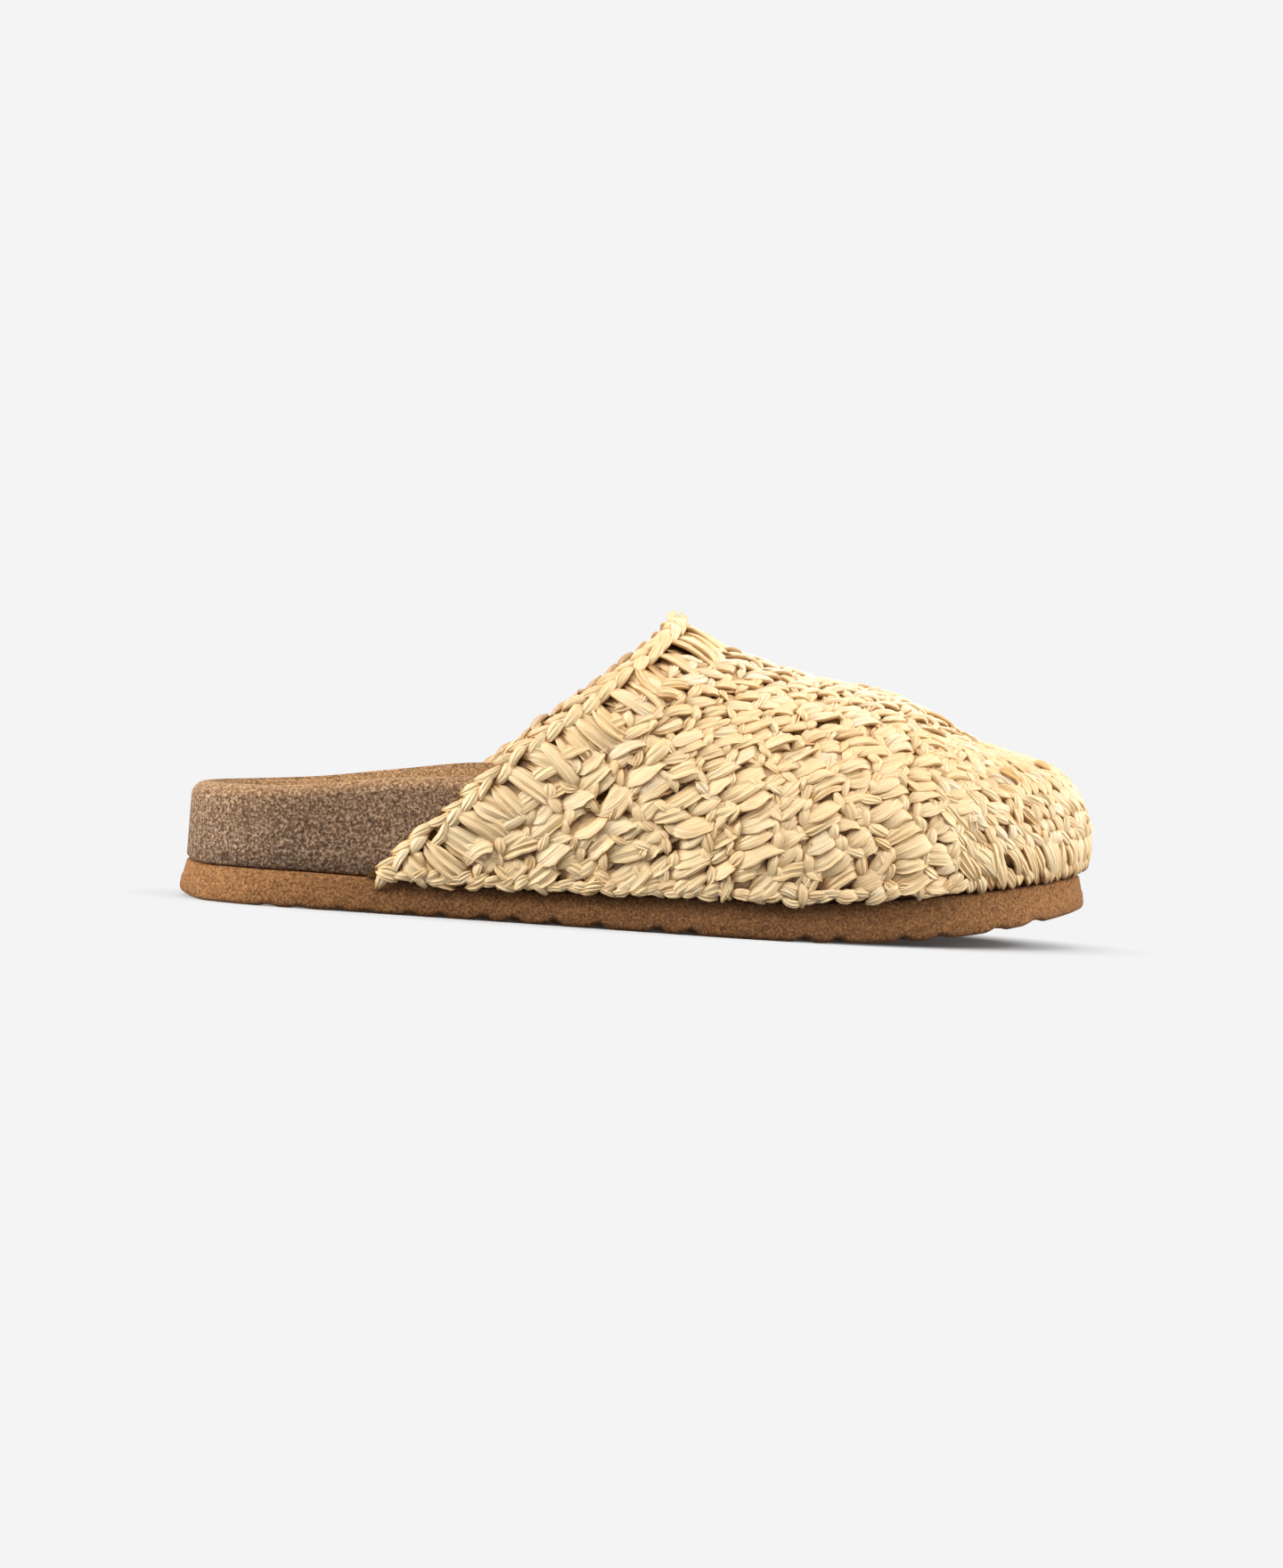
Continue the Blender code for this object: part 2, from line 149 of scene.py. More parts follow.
PlanRow = namedtuple("PlanRow", "x centre half")
PLAN = (
    PlanRow(0.0, 0.0, 30.5),
    PlanRow(32.0, 0.0, 32.6),
    PlanRow(60.0, -0.8, 33.8),
    PlanRow(95.0, -3.2, 35.3),
    PlanRow(130.0, -3.0, 41.0),
    PlanRow(165.0, -1.5, 47.4),
    PlanRow(185.0, 0.5, 48.5),
    PlanRow(210.0, 2.6, 46.3),
    PlanRow(235.0, 5.6, 43.7),
    PlanRow(259.2, 9.5, 40.0),
)

SoleRow = namedtuple("SoleRow", "x thickness seat outer_rim inner_rim")
SOLE = (
    SoleRow(0.0, 9.8, 29.5, 33.0, 33.0),
    SoleRow(15.0, 10.2, 26.4, 33.5, 33.5),
    SoleRow(35.0, 10.3, 24.6, 34.8, 35.0),
    SoleRow(60.0, 9.8, 25.0, 38.2, 38.8),
    SoleRow(85.0, 9.4, 26.8, 39.8, 42.2),
    SoleRow(115.0, 9.5, 26.6, 37.0, 40.5),
    SoleRow(145.0, 10.5, 23.4, 30.8, 32.4),
    SoleRow(172.0, 10.8, 21.4, 27.2, 27.4),
    SoleRow(200.0, 11.9, 22.8, 27.6, 27.6),
    SoleRow(230.0, 11.7, 27.0, 31.8, 31.8),
    SoleRow(259.2, 9.6, 33.0, 37.0, 37.0),
)

UpperRow = namedtuple("UpperRow", "x ridge crown power")
UPPER = (
    UpperRow(50.0, 0.0, 94.0, 2.4),
    UpperRow(98.0, 0.5, 94.5, 2.3),
    UpperRow(120.0, 1.5, 90.0, 2.2),
    UpperRow(136.5, 3.0, 87.4, 2.1),
    UpperRow(149.0, 3.5, 79.8, 2.1),
    UpperRow(160.0, 4.0, 76.2, 2.1),
    UpperRow(180.0, 5.0, 71.2, 2.2),
    UpperRow(200.0, 6.0, 67.8, 2.3),
    UpperRow(211.0, 6.6, 63.2, 2.4),
    UpperRow(222.0, 7.2, 57.4, 2.5),
    UpperRow(235.0, 8.0, 53.8, 2.6),
    UpperRow(260.0, 9.5, 47.4, 2.6),
)

# Ribbons: where their sections lie along them, how they fold across, and how far they stray
Detail = namedtuple("Detail", "places folds")
FINE = Detail(np.array((-0.5, -0.46, -0.38, -0.25, -0.09, 0.09, 0.25, 0.38, 0.465, 0.5)), 5)
COARSE = Detail(np.array((-0.5, -0.44, -0.28, 0.0, 0.28, 0.44, 0.5)), 3)
FOLD_SPAN = 0.7
FOLD_STRAY = 0.1
VALLEYS = (0.1, 0.6)
RIDGES = (0.0, 0.1)
FOLD_WAVES = (3.0, 9.0)
FOLD_SWING = 0.35
SHOULDER = 0.93
SHOULDER_HEIGHTS = (0.45, 0.75)
BRIM_HEIGHT = 0.1
UNDER_DEPTH = 0.4
CROWN = 0.32
PLEATED = 0.36
SMOOTH = 0.4
DIP_SHARE = 0.13
BLUNT = 0.8
BLUNT_POWER = 5.0
END_POWER = 3.0
START_POWER = 2.6
START_TAPER = (-0.5, -0.12)
END_TAPER = (-0.5, -0.14)
STRAY_LENGTH = 0.19
STRAY_WIDTH = 0.21
STRAY_HEIGHT = 0.15
STRAY_LIFT = 0.12
STRAY_START = 0.25
STRAY_END = 0.12
STRAY_ROLL = 6.0
STRAY_TINT = 0.4
ROLL_DEGREES = 14.0
TWIST_DEGREES = 12.0
SKEW = 0.26
WOBBLE = 0.05
STRAND_SPACING = 37.0
# Painted shade: a ribbon's colour goes golden then deep as it sinks from SHADE_HIGH to SHADE_LOW over the
# wall, at its outermost edges and on its underside; OPEN_SHADE keeps the undersides of ribbons seen from both
# sides light
SHADE_LOW = -1.0
SHADE_HIGH = 1.0
EDGE_SHADES = (0.05, 0.8)
OPEN_SHADE = 0.8
BEND = 0.07
TOE_PATHS = 40
BORDER_PATHS = 9

# Finding the upper's surface: a core line inside it, bisection steps and a step for slopes
CORE_END = 226.0
CORE_RISE = 0.35
SNAP_STEPS = 24
NORMAL_STEP = 0.25

# The crochet's rows on one side of the upper laid flat: place along the shoe and length up the wall
FLAT_START = 60.0
FLAT_STEP = 2.0
FLAT_ROWS = 97
LAST_CELL = 1.001
FIRST_SEED = 178.0
ROW_PITCH = 4.4
ROW_STEP = 1.0
SEED_GAP = 0.74
ROW_GAP = 0.5
SEED_SPACING = 3
LEAN_DEGREES = 27.0
LEAN_SHARES = (0.15, 0.95)
LEAN_FADE = (196.0, 222.0)
LEAN_LOSS = 0.7
COLUMN_PITCH = 20.4
COLUMN_TILT = 0.5
ROW_DRIFT = 1.5
STAGGER = 5.5
STAGGER_ZONE = (0.2, 0.45)
ROPE_ZONE = (0.3, 0.55)
STRAY_ALONG = 0.7
STRAY_UP = 0.45
HEM_ROW = 3.0
HEM_CLEARANCE = 0.8
HEM_START = 0.012
BODY_EDGE = BAND_SHARE - 0.004
BAND_CLEARANCE = 2.2
TOE_BORDER = 223.5
LINING_CLEARANCE = 2.0
LINING_EDGE = 0.055
LINING_TUCK = 1.0

# One repeat along a row: where each ribbon lies, its sizes, and its turns from the row's direction
Stitch = namedtuple("Stitch", "place length width height turns spread lift start end")
ROUND = (
    Stitch(4.6, 12.4, 5.5, 1.5, (1.0, 6.0, 11.0), 6.0, 0.3, 0.4, 0.97),
    Stitch(11.2, 7.2, 3.0, 1.4, (56.0, 70.0, -56.0), 12.0, 0.4, 0.15, 0.22),
    Stitch(14.6, 9.8, 5.0, 1.4, (10.0, 24.0, 2.0), 9.0, 0.15, 0.35, 0.9),
    Stitch(19.2, 6.8, 3.0, 1.4, (64.0, 48.0, -58.0), 12.0, 0.35, 0.15, 0.22),
    Stitch(17.2, 5.2, 2.5, 1.2, (-48.0, -70.0, 34.0), 14.0, 0.2, 0.15, 0.22),
)
ROPE = (
    Stitch(3.4, 10.6, 4.8, 1.9, (4.0, 10.0, 17.0), 6.0, 0.35, 0.35, 0.85),
    Stitch(8.4, 5.8, 3.1, 1.9, (58.0, 76.0, -64.0), 12.0, 0.4, 0.2, 0.35),
    Stitch(13.6, 10.2, 4.7, 1.9, (4.0, 12.0, 20.0), 6.0, 0.35, 0.35, 0.85),
    Stitch(18.6, 5.8, 3.1, 1.9, (62.0, 46.0, -60.0), 12.0, 0.4, 0.2, 0.35),
)
UNDER_ROUND = (
    Stitch(4.0, 10.5, 5.2, 0.9, (0.0, 12.0), 12.0, -0.8, 0.6, 0.7),
    Stitch(11.0, 10.5, 5.2, 0.9, (40.0, 60.0), 12.0, -0.85, 0.6, 0.7),
    Stitch(18.0, 10.5, 5.2, 0.9, (10.0, 30.0), 12.0, -0.8, 0.6, 0.7),
)
UNDER_ROPE = tuple(stitch._replace(lift=-0.4) for stitch in UNDER_ROUND)
LINING_ROUND = (
    Stitch(5.5, 13.0, 6.2, 0.7, (0.0, 8.0), 6.0, 0.1, 0.7, 0.85),
    Stitch(16.0, 12.5, 6.0, 0.7, (10.0, 20.0), 8.0, 0.0, 0.7, 0.85),
    Stitch(0.5, 12.0, 6.0, 0.7, (-10.0, 4.0), 8.0, -0.3, 0.7, 0.85),
    Stitch(11.0, 12.0, 6.0, 0.7, (4.0, 14.0), 8.0, -0.3, 0.7, 0.85),
)
# Stitches are broader low on the wall; their colour is painted paler toward its top as a painted highlight,
# and a little warmer low down as painted shade
LOW_BREADTH = 1.12
TINT_SHARES = (0.1, 0.4, 0.55, 0.85)
SHADE_AND_HIGHLIGHT_TINTS = (0.2, 0.0, 0.0, -1.2)
# The toe's ribbons are painted paler, a painted highlight
TOE_HIGHLIGHT_TINT = -0.5

# One row of ribbons round the toe or along the hem: height over the hem, pitch, turns from upright, sizes
Row = namedtuple("Row", "up pitch turns spread length width height lift start end")
TOE_LEAVES = Row(12.0, 3.3, (-34.0, -46.0, -24.0, 14.0), 11.0, 7.4, 3.3, 1.8, 0.1, 0.3, 0.45)
TOE_FEET = Row(2.4, 3.4, (-22.0, -34.0, -10.0), 8.0, 5.8, 3.4, 1.5, -0.75, 0.5, 0.6)
TOE_POSTS = Row(6.8, 3.6, (-14.0, -26.0, -6.0), 8.0, 13.0, 3.9, 1.8, -0.1, 0.45, 0.75)
BORDER_POSTS = Row(8.5, 4.2, (-6.0, -18.0), 6.0, 14.0, 4.6, 1.9, 0.3, 0.4, 0.7)
UNDER_LEAVES = Row(9.5, 4.0, (-34.0, -20.0, 20.0), 10.0, 8.0, 4.4, 0.9, -0.95, 0.6, 0.7)
HEM_LOOPS = Row(2.2, 4.2, (66.0, 100.0, 52.0, 20.0), 10.0, 6.4, 3.4, 1.5, 0.45, 0.4, 0.6)
HEM_EDGE = Row(1.1, 4.8, (96.0, 70.0, 110.0), 8.0, 6.2, 2.5, 1.3, 0.5, 0.4, 0.6)
LEAF_RISE = 3.8
LEAF_CLEARANCE = 1.5
UNDER_RISE = 4.0
EVEN_SPACE = 0.5
BRICK_SPACES = (0.3, 0.8)

# One stitch of the collar's band: strips side by side, splayed from the chain
Strip = namedtuple("Strip", "place splay length width height lift")
Bundle = namedtuple("Bundle", "strips start end pleated")
BAND_FLAT = Bundle((
    Strip(0.3, 0.0, 1.0, 5.9, 1.7, 0.5),
    Strip(-2.9, -0.06, 0.85, 3.4, 1.2, -0.3),
), 0.42, 0.92, 0.5)
BAND_FAN = Bundle((
    Strip(-2.4, -0.1, 0.92, 4.4, 1.4, 0.0),
    Strip(0.5, 0.03, 1.0, 7.0, 1.9, 0.5),
), 0.5, 0.78, 1.0)
UNDER_STRIPS = (Strip(0.0, 0.0, 1.0, 6.2, 0.9, -0.75),)
UNDER_FLAT = BAND_FLAT._replace(strips=UNDER_STRIPS)
UNDER_FAN = BAND_FAN._replace(strips=UNDER_STRIPS)
BAND_PITCH = 6.2
UNDER_PITCH = 4.6
BAND_LINE = 0.022
BAND_REACH = np.arange(4.0, 15.6, 0.5)
BAND_OVERLAP = 1.2
BAND_TURN = 12.0
BAND_SPREAD = 8.0
FAN_CHANCE = 0.7
FAN_LOSS = 0.5
CLIMB_SPAN = 60.0

# The links of the collar's chain: offsets away from the opening and along it, lean, and sizes
Link = namedtuple("Link", "away onward lean length width height lift dip")
CHAIN = (
    Link(1.8, 0.0, -0.3, 9.4, 3.5, 1.5, 0.3, 1.4),
    Link(-0.5, 3.0, 0.28, 9.0, 3.0, 1.4, -0.2, 1.2),
)
INNER_CHAIN = (
    Link(2.2, 0.0, 0.2, 9.0, 3.4, 1.3, 0.3, 0.6),
    Link(-0.6, 0.0, 0.2, 9.0, 3.2, 1.3, 0.3, 0.6),
)
CHAIN_LINE = 0.009
CHAIN_PITCH = 6.3
LINK_START = 0.4
LINK_END = 0.5

# The knot's ribbons, as points from the collar's peak
KNOT = (
    ((-1.6, -1.5, -2.0), (-1.4, -1.8, 0.6), (-1.7, -1.2, 2.7)),
    ((1.2, -1.8, -2.4), (1.5, -2.0, 0.0), (2.0, -1.2, 1.9)),
    ((-3.0, -2.2, -1.4), (0.0, -3.0, 0.2), (3.2, -2.2, -1.6)),
)
KNOT_SETBACK = 1.2
KNOT_WIDTH = 3.0
KNOT_HEIGHTS = (1.3, 1.3, 1.4)

# Loose ends of ribbon: place along the shoe, distance from the ridge, slope and length
LooseEnd = namedtuple("LooseEnd", "x aside slope length")
LOOSE_ENDS = (
    LooseEnd(213.5, 9.0, -0.45, 12.5),
    LooseEnd(243.5, 12.0, -0.5, 5.5),
    LooseEnd(234.0, 27.0, -1.2, 6.0),
)

# Colours of raffia, whose golden and deep ones paint its shade (golden also its tanned ends), and of the
# ground behind it, then the light, middle and dark ones of pressed granules
Straw = namedtuple("Straw", "pale light warm golden deep")
STRAW = Straw(
    (0.82, 0.71, 0.52), (0.805, 0.59, 0.312), (0.705, 0.435, 0.158), (0.65, 0.37, 0.106), (0.37, 0.175, 0.05))
# A darker copy of the straw, painted as shade, for the ribbons under the stitches that show in their gaps
PAINTED_SHADE_STRAW = Straw(
    (0.74, 0.52, 0.27), (0.69, 0.46, 0.215), (0.58, 0.35, 0.135), (0.52, 0.285, 0.09), (0.24, 0.11, 0.032))
# The ground behind the ribbons, dark brown as painted shade in the gaps, and its darker fibres
GROUND_PAINTED_SHADE = ((0.16, 0.08, 0.025), (0.08, 0.035, 0.012))
FOAM = ((0.46, 0.222, 0.083), (0.272, 0.121, 0.041), (0.122, 0.048, 0.015))
# A darker set of the foam's colours, painted shade for the middle of the shoe and the bottom of the side
PAINTED_SHADE_FOAM = ((0.305, 0.141, 0.05), (0.168, 0.072, 0.0235), (0.074, 0.029, 0.0095))
CORK = ((0.6, 0.4, 0.255), (0.192, 0.109, 0.061), (0.052, 0.026, 0.014))
SUEDE = ((0.62, 0.38, 0.19), (0.33, 0.18, 0.08), (0.13, 0.062, 0.025))

# Stage, in metres and degrees
FLOOR_REACH = 3.0
FLOOR_RADIUS = 1.2
FLOOR_HEIGHT = 3.0
FLOOR_STEPS = 17
FLOOR_FADE = (0.8, 1.12)
MATT_OVAL = (7.4, 17.5, 1.0)
WORLD_STRENGTH = 0.15
VIEW_TARGET = (0.0002, 0.0, 0.0397)
VIEW_DISTANCE = 2.5
VIEW_ELEVATION = 2.5
VIEW_ROLL = 3.5
VIEW_LENS = 200.4
VIEW_CLIP = (0.1, 20.0)
Light = namedtuple("Light", "name place target size watts")
LIGHTS = (
    Light("top_light", (0.0, -0.65, 1.25), (0.0, 0.0, 0.03), (1.6, 1.0), 17.6),
    Light("left_light", (-1.35, -0.2, 0.55), (0.0, 0.0, 0.04), (0.8, 0.9), 28.4),
    Light("right_light", (1.35, -0.2, 0.55), (0.0, 0.0, 0.04), (0.8, 0.9), 23.6),
    Light("front_light", (0.0, -1.6, 0.3), (0.0, 0.0, 0.03), (1.6, 0.4), 1.9),
    Light("back_light", (0.0, 1.25, 0.75), (0.0, 0.0, 0.04), (1.2, 0.8), 10.0),
)


# Lines and forms of the shoe

def from_table(table, column, x):
    """A smooth curve through one column of a table, level past its ends."""
    knots = np.array([row.x for row in table])
    values = np.array([getattr(row, column) for row in table])
    slopes = np.gradient(values, knots)
    x = np.clip(x, knots[0], knots[-1])
    low = np.clip(np.searchsorted(knots, x) - 1, 0, len(knots) - 2)
    span = knots[low + 1] - knots[low]
    t = (x - knots[low]) / span
    rise = values[low + 1] - values[low]
    start = slopes[low] * span - rise
    end = rise - slopes[low + 1] * span
    return values[low] + t * rise + t * (1 - t) * (start * (1 - t) + end * t)


def smooth_step(value, low, high):
    t = np.clip((value - low) / (high - low), 0.0, 1.0)
    return t * t * (3 - 2 * t)


def round_end(x, start, end, power):
    """How much of the full size is left on the way from start to a rounded end."""
    t = np.clip((x - start) / (end - start), 0.0, 1.0)
    return (1 - t ** power) ** (1 / power)


def outline(along, side, inset):
    """Points of the sole's outline moved in by an inset; along runs from 0 to LENGTH."""
    cap = round_end(along, HEEL_ROUND, 0.0, HEEL_POWER)
    cap = cap * round_end(along, LENGTH - TOE_ROUND, LENGTH, TOE_POWER)
    x = inset + along * (LENGTH - 2 * inset) / LENGTH
    half = (from_table(PLAN, "half", along) - inset) * cap
    return x, from_table(PLAN, "centre", along) + side * half


def edge(x, side, inset):
    """The outline's y at a place along the shoe."""
    along = np.clip((x - inset) * LENGTH / (LENGTH - 2 * inset), 0.0, LENGTH)
    return outline(along, side, inset)[1]


def ground(x):
    """The tread's height over the floor: heel bevel, flat sole, toe spring."""
    heel = HEEL_LIFT * np.clip(1 - x / HEEL_FLAT, 0.0, 1.0) ** 2
    past = np.clip(x - TOE_BREAK, 0.0, None)
    return heel + TOE_SPRING_RADIUS - np.sqrt(TOE_SPRING_RADIUS ** 2 - past ** 2)


def ridge_line(x):
    return from_table(UPPER, "ridge", x)


def outsole_top(x):
    return ground(x) + from_table(SOLE, "thickness", x)


def hem(x):
    return outsole_top(x) + GAP


def crown(x, inset):
    """Height of the upper's ridge, rounded down over the toe."""
    tip = LENGTH - inset
    full = from_table(UPPER, "crown", x) - inset - hem(x)
    return hem(x) + full * round_end(x, tip - CROWN_ROUND, tip, CROWN_POWER)


def arch_height(u, power):
    return (1 - np.clip(u, 0.0, 1.0) ** power) ** (1 / power)


def upper_height(x, y, inset):
    """The upper's surface over a point of the plan."""
    ridge = ridge_line(x)
    side = np.where(y < ridge, -1.0, 1.0)
    reach = np.maximum(np.abs(edge(x, side, inset) - ridge), 1e-6)
    rise = arch_height(np.abs(y - ridge) / reach, from_table(UPPER, "power", x))
    return hem(x) + (crown(x, inset) - hem(x)) * rise


def hem_line(side, inset):
    """The hem from the rear of the collar to the toe tip: dense points and the length up to each."""
    start = (COLLAR_REAR - inset) * LENGTH / (LENGTH - 2 * inset)
    spread = 1 - np.cos(np.linspace(0.0, math.pi / 2, PATH_POINTS))
    along = LENGTH - (LENGTH - start) * spread[::-1]
    x, y = outline(along, side, inset)
    steps = np.hypot(np.diff(x), np.diff(y))
    return x, y, np.concatenate(([0.0], np.cumsum(steps)))


def ridge_end(share):
    """Where along the shoe the upper path of a share reaches the ridge."""
    return np.interp(share, (0.0, BAND_SHARE, 1.0), (COLLAR_PEAK, BAND_PEAK, TOE_TOP))


def upper_path(share, side, inset, heights):
    """Points up the upper from the hem to its ridge, at the given shares of the path's length.

    share runs from 0 at the collar to 1 at the toe tip. Paths lean forward from hem to ridge.
    """
    hem_x, hem_y, lengths = hem_line(side, inset)
    place = share * lengths[-1]
    foot_x = np.interp(place, lengths, hem_x)
    foot_y = np.interp(place, lengths, hem_y)
    top_x = ridge_end(share)
    top_y = ridge_line(top_x)
    fan = smooth_step(share, FAN_START, 1.0)

    inward = np.linspace(0.0, 1.0, PATH_POINTS) ** 3
    climb = arch_height(1 - inward, from_table(UPPER, "power", foot_x))
    x = foot_x + (top_x - foot_x) * ((1 - fan) * climb + fan * inward)
    ridge = ridge_line(x)
    along_wall = ridge + (1 - inward) * (edge(x, side, inset) - ridge)
    straight = foot_y + (top_y - foot_y) * inward
    y = (1 - fan) * along_wall + fan * straight
    points = np.stack((x, y, upper_height(x, y, inset)), axis=1)
    return spaced(points, np.asarray(heights) * lengths_along(points)[-1])


def whole_paths(shares, side):
    """Dense paths from the hem to the ridge on the upper's outer face."""
    heights = np.linspace(0.0, 1.0, PATH_POINTS)
    return [upper_path(share, side, 0.0, heights) for share in shares]


def upper_grid(shares, heights, inset):
    """Paths from the outer collar round the toe to the inner collar."""
    outer_side = [upper_path(share, -1.0, inset, heights) for share in shares]
    inner_side = [upper_path(share, 1.0, inset, heights) for share in reversed(shares[:-1])]
    return np.array(outer_side + inner_side)


# Lines on the upper

def lengths_along(points):
    steps = np.linalg.norm(np.diff(points, axis=0), axis=1)
    return np.concatenate(([0.0], np.cumsum(steps)))


def spaced(points, wanted):
    """Points of a line at the wanted lengths from its start."""
    travelled = lengths_along(points)
    return np.stack([np.interp(wanted, travelled, points[:, k]) for k in range(3)], axis=1)


def unit(vectors):
    return vectors / np.maximum(np.linalg.norm(vectors, axis=-1, keepdims=True), 1e-9)


def dot(first, second):
    return np.sum(first * second, axis=-1, keepdims=True)


def level(points, inset):
    """Under 1 inside the upper's form, 1 on it and over 1 outside."""
    x = points[..., 0]
    ridge = ridge_line(x)
    side = np.where(points[..., 1] < ridge, -1.0, 1.0)
    reach = np.maximum(np.abs(edge(x, side, inset) - ridge), 1e-3)
    full = np.maximum(crown(x, inset) - hem(x), 1e-3)
    across = np.abs(points[..., 1] - ridge) / reach
    up = np.clip(points[..., 2] - hem(x), 0.0, None) / full
    power = from_table(UPPER, "power", x)
    return (across ** power + up ** power) ** (1 / power)


def snap(points, inset):
    """Moves points onto the upper's form, along lines from its core."""
    core_x = np.minimum(points[..., 0], CORE_END)
    core_z = hem(core_x) + CORE_RISE * (crown(core_x, inset) - hem(core_x))
    core = np.stack((core_x, ridge_line(core_x), core_z), axis=-1)
    ray = points - core
    low = np.zeros(points.shape[:-1])
    high = np.full(points.shape[:-1], 2.0)
    for _ in range(SNAP_STEPS):
        middle = (low + high) / 2
        inside = level(core + middle[..., None] * ray, inset) < 1
        low = np.where(inside, middle, low)
        high = np.where(inside, high, middle)
    return core + low[..., None] * ray


def normals(points, inset):
    """Outward normals of the upper's form."""
    slopes = []
    for axis in np.eye(3):
        slopes.append(level(points + NORMAL_STEP * axis, inset) - level(points - NORMAL_STEP * axis, inset))
    return unit(np.stack(slopes, axis=-1))


def share_of(points, side):
    """The upper path's share that a point lies on, behind the toe."""
    shares = np.linspace(0.0, 1.0, SHARE_STEPS)
    hem_x, _, lengths = hem_line(side, 0.0)
    foot_x = np.interp(shares * lengths[-1], lengths, hem_x)
    x = points[:, 0]
    climb = np.clip((points[:, 2] - hem(x)) / (crown(x, 0.0) - hem(x)), 0.0, 1.0)[:, None]
    return np.mean(foot_x * (1 - climb) + ridge_end(shares) * climb < x[:, None], axis=1)


# Meshes

def shoe_origin():
    """Where the shoe's own zero, under the end of the heel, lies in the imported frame."""
    points = np.array([vertex.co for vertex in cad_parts["outsole"].data.vertices]) / MM
    heel_end = points[points[:, 0].argmin()]
    return np.array((heel_end[0], heel_end[1], 0.0))


ORIGIN = shoe_origin()


def new_object(name, data):
    made = bpy.data.objects.new(name, data)
    bpy.context.scene.collection.objects.link(made)
    return made


def new_mesh(name, points, faces, material):
    """An object that is a smooth mesh of one material."""
    mesh = bpy.data.meshes.new(name)
    mesh.from_pydata(points, [], faces)
    mesh.shade_smooth()
    mesh.materials.append(material)
    return new_object(name, mesh)


def add_piece(name, points, faces, material, replaced=()):
    """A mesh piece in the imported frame, riding with the shoe."""
    piece = new_mesh(name, (np.asarray(points) + ORIGIN) * MM, faces, material)
    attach(piece, "root")
    if replaced:
        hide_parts(*replaced)
    return piece


class Shell:
    """Vertices and faces of one closed body."""

    def __init__(self):
        self.points = []
        self.faces = []

    def add(self, points):
        first = len(self.points)
        self.points.extend(tuple(point) for point in points)
        return list(range(first, len(self.points)))

    def face(self, corners):
        kept = [c for k, c in enumerate(corners) if c != corners[k - 1]]
        if len(kept) > 2:
            self.faces.append(kept)

    def bridge(self, ring, other, closed=True):
        count = len(ring)
        for k in range(count if closed else count - 1):
            after = (k + 1) % count
            self.face((ring[k], ring[after], other[after], other[k]))

    def sweep(self, loops, closed=True):
        for loop, after in zip(loops, loops[1:]):
            self.bridge(loop, after, closed)

    def enclose(self, loops):
        """Faces between closed loops, and across the first and the last of them."""
        self.sweep(loops)
        self.fill(across_rows(loops[0]))
        self.fill(across_rows(loops[-1]))

    def fill(self, rows):
        """Faces between rows across the shoe; a row of one point is a pointed end."""
        for row, after in zip(rows, rows[1:]):
            if len(row) == 1:
                row = row * len(after)
            if len(after) == 1:
                after = after * len(row)
            self.bridge(row, after, closed=False)

    def build(self, name, material, slot, replaced):
        piece = add_piece(name, self.points, self.faces, material, replaced)
        work = bmesh.new()
        work.from_mesh(piece.data)
        bmesh.ops.recalc_face_normals(work, faces=work.faces)
        work.to_mesh(piece.data)
        work.free()
        piece.data.shade_smooth()
        return piece


# Ribbons

Ribbon = namedtuple(
    "Ribbon", "centre along length width height lift bend start end dip roll twist tint pleat")


class Crochet:
    """Raffia ribbons laid on the upper's form, or on its inner face, and made into one mesh."""

    def __init__(self, seed, inset=0.0, facing=1.0, under_shade=0.0, detail=FINE):
        self.random = np.random.default_rng(seed)
        self.detail = detail
        self.inset = inset
        self.facing = facing
        self.under_shade = under_shade
        self.ribbons = []
        self.free = {}

    def vary(self, value, share):
        return value * (1 + self.random.uniform(-share, share))

    def lay(self, centre, along, length, width, height, lift, start, end, dip=None, roll=0.0, tint=0.0,
            pleated=PLEATED):
        """One ribbon, a little different from the next; pleated is its chance of deep folds."""
        dip = dip or DIP_SHARE * length
        self.ribbons.append(Ribbon(
            centre, along, self.vary(length, STRAY_LENGTH), self.vary(width, STRAY_WIDTH),
            self.vary(height, STRAY_HEIGHT), lift + self.random.normal(0.0, STRAY_LIFT),
            self.random.normal(0.0, BEND) * length, self.vary(start, STRAY_START),
            min(self.vary(end, STRAY_END), 1.0), dip, roll + self.random.normal(0.0, STRAY_ROLL),
            self.random.normal(0.0, TWIST_DEGREES), tint + self.random.normal(0.0, STRAY_TINT),
            1.0 if self.random.uniform() < pleated else SMOOTH))

    def lay_free(self, points, out, width, height):
        """A ribbon that leaves the form, along its own points."""
        self.free[len(self.ribbons)] = (points, out)
        self.ribbons.append(Ribbon(
            points[0], out, lengths_along(points)[-1], width, height, lift=0.0, bend=0.0, start=0.7, end=0.8,
            dip=0.2, roll=0.0, twist=0.0, tint=0.0, pleat=SMOOTH))

    def build(self, name, material):
        columns = Ribbon(*(np.array(column, float) for column in zip(*self.ribbons)))
        places = self.detail.places
        normal = normals(columns.centre, self.inset)
        along = unit(columns.along - normal * dot(columns.along, normal))
        across = np.cross(normal, along)
        sway = columns.bend[:, None] * (1 - 4 * places ** 2)
        path = columns.centre[:, None] + along[:, None] * (places * columns.length[:, None])[..., None]
        path = snap(path + across[:, None] * sway[..., None], self.inset)
        out = normals(path, self.inset) * self.facing
        for k, (points, facing) in self.free.items():
            path[k] = spaced(points, (places + 0.5) * columns.length[k])
            out[k] = facing
        return ribbon_mesh(name, material, columns, path, out, self.under_shade, self.detail, self.random)


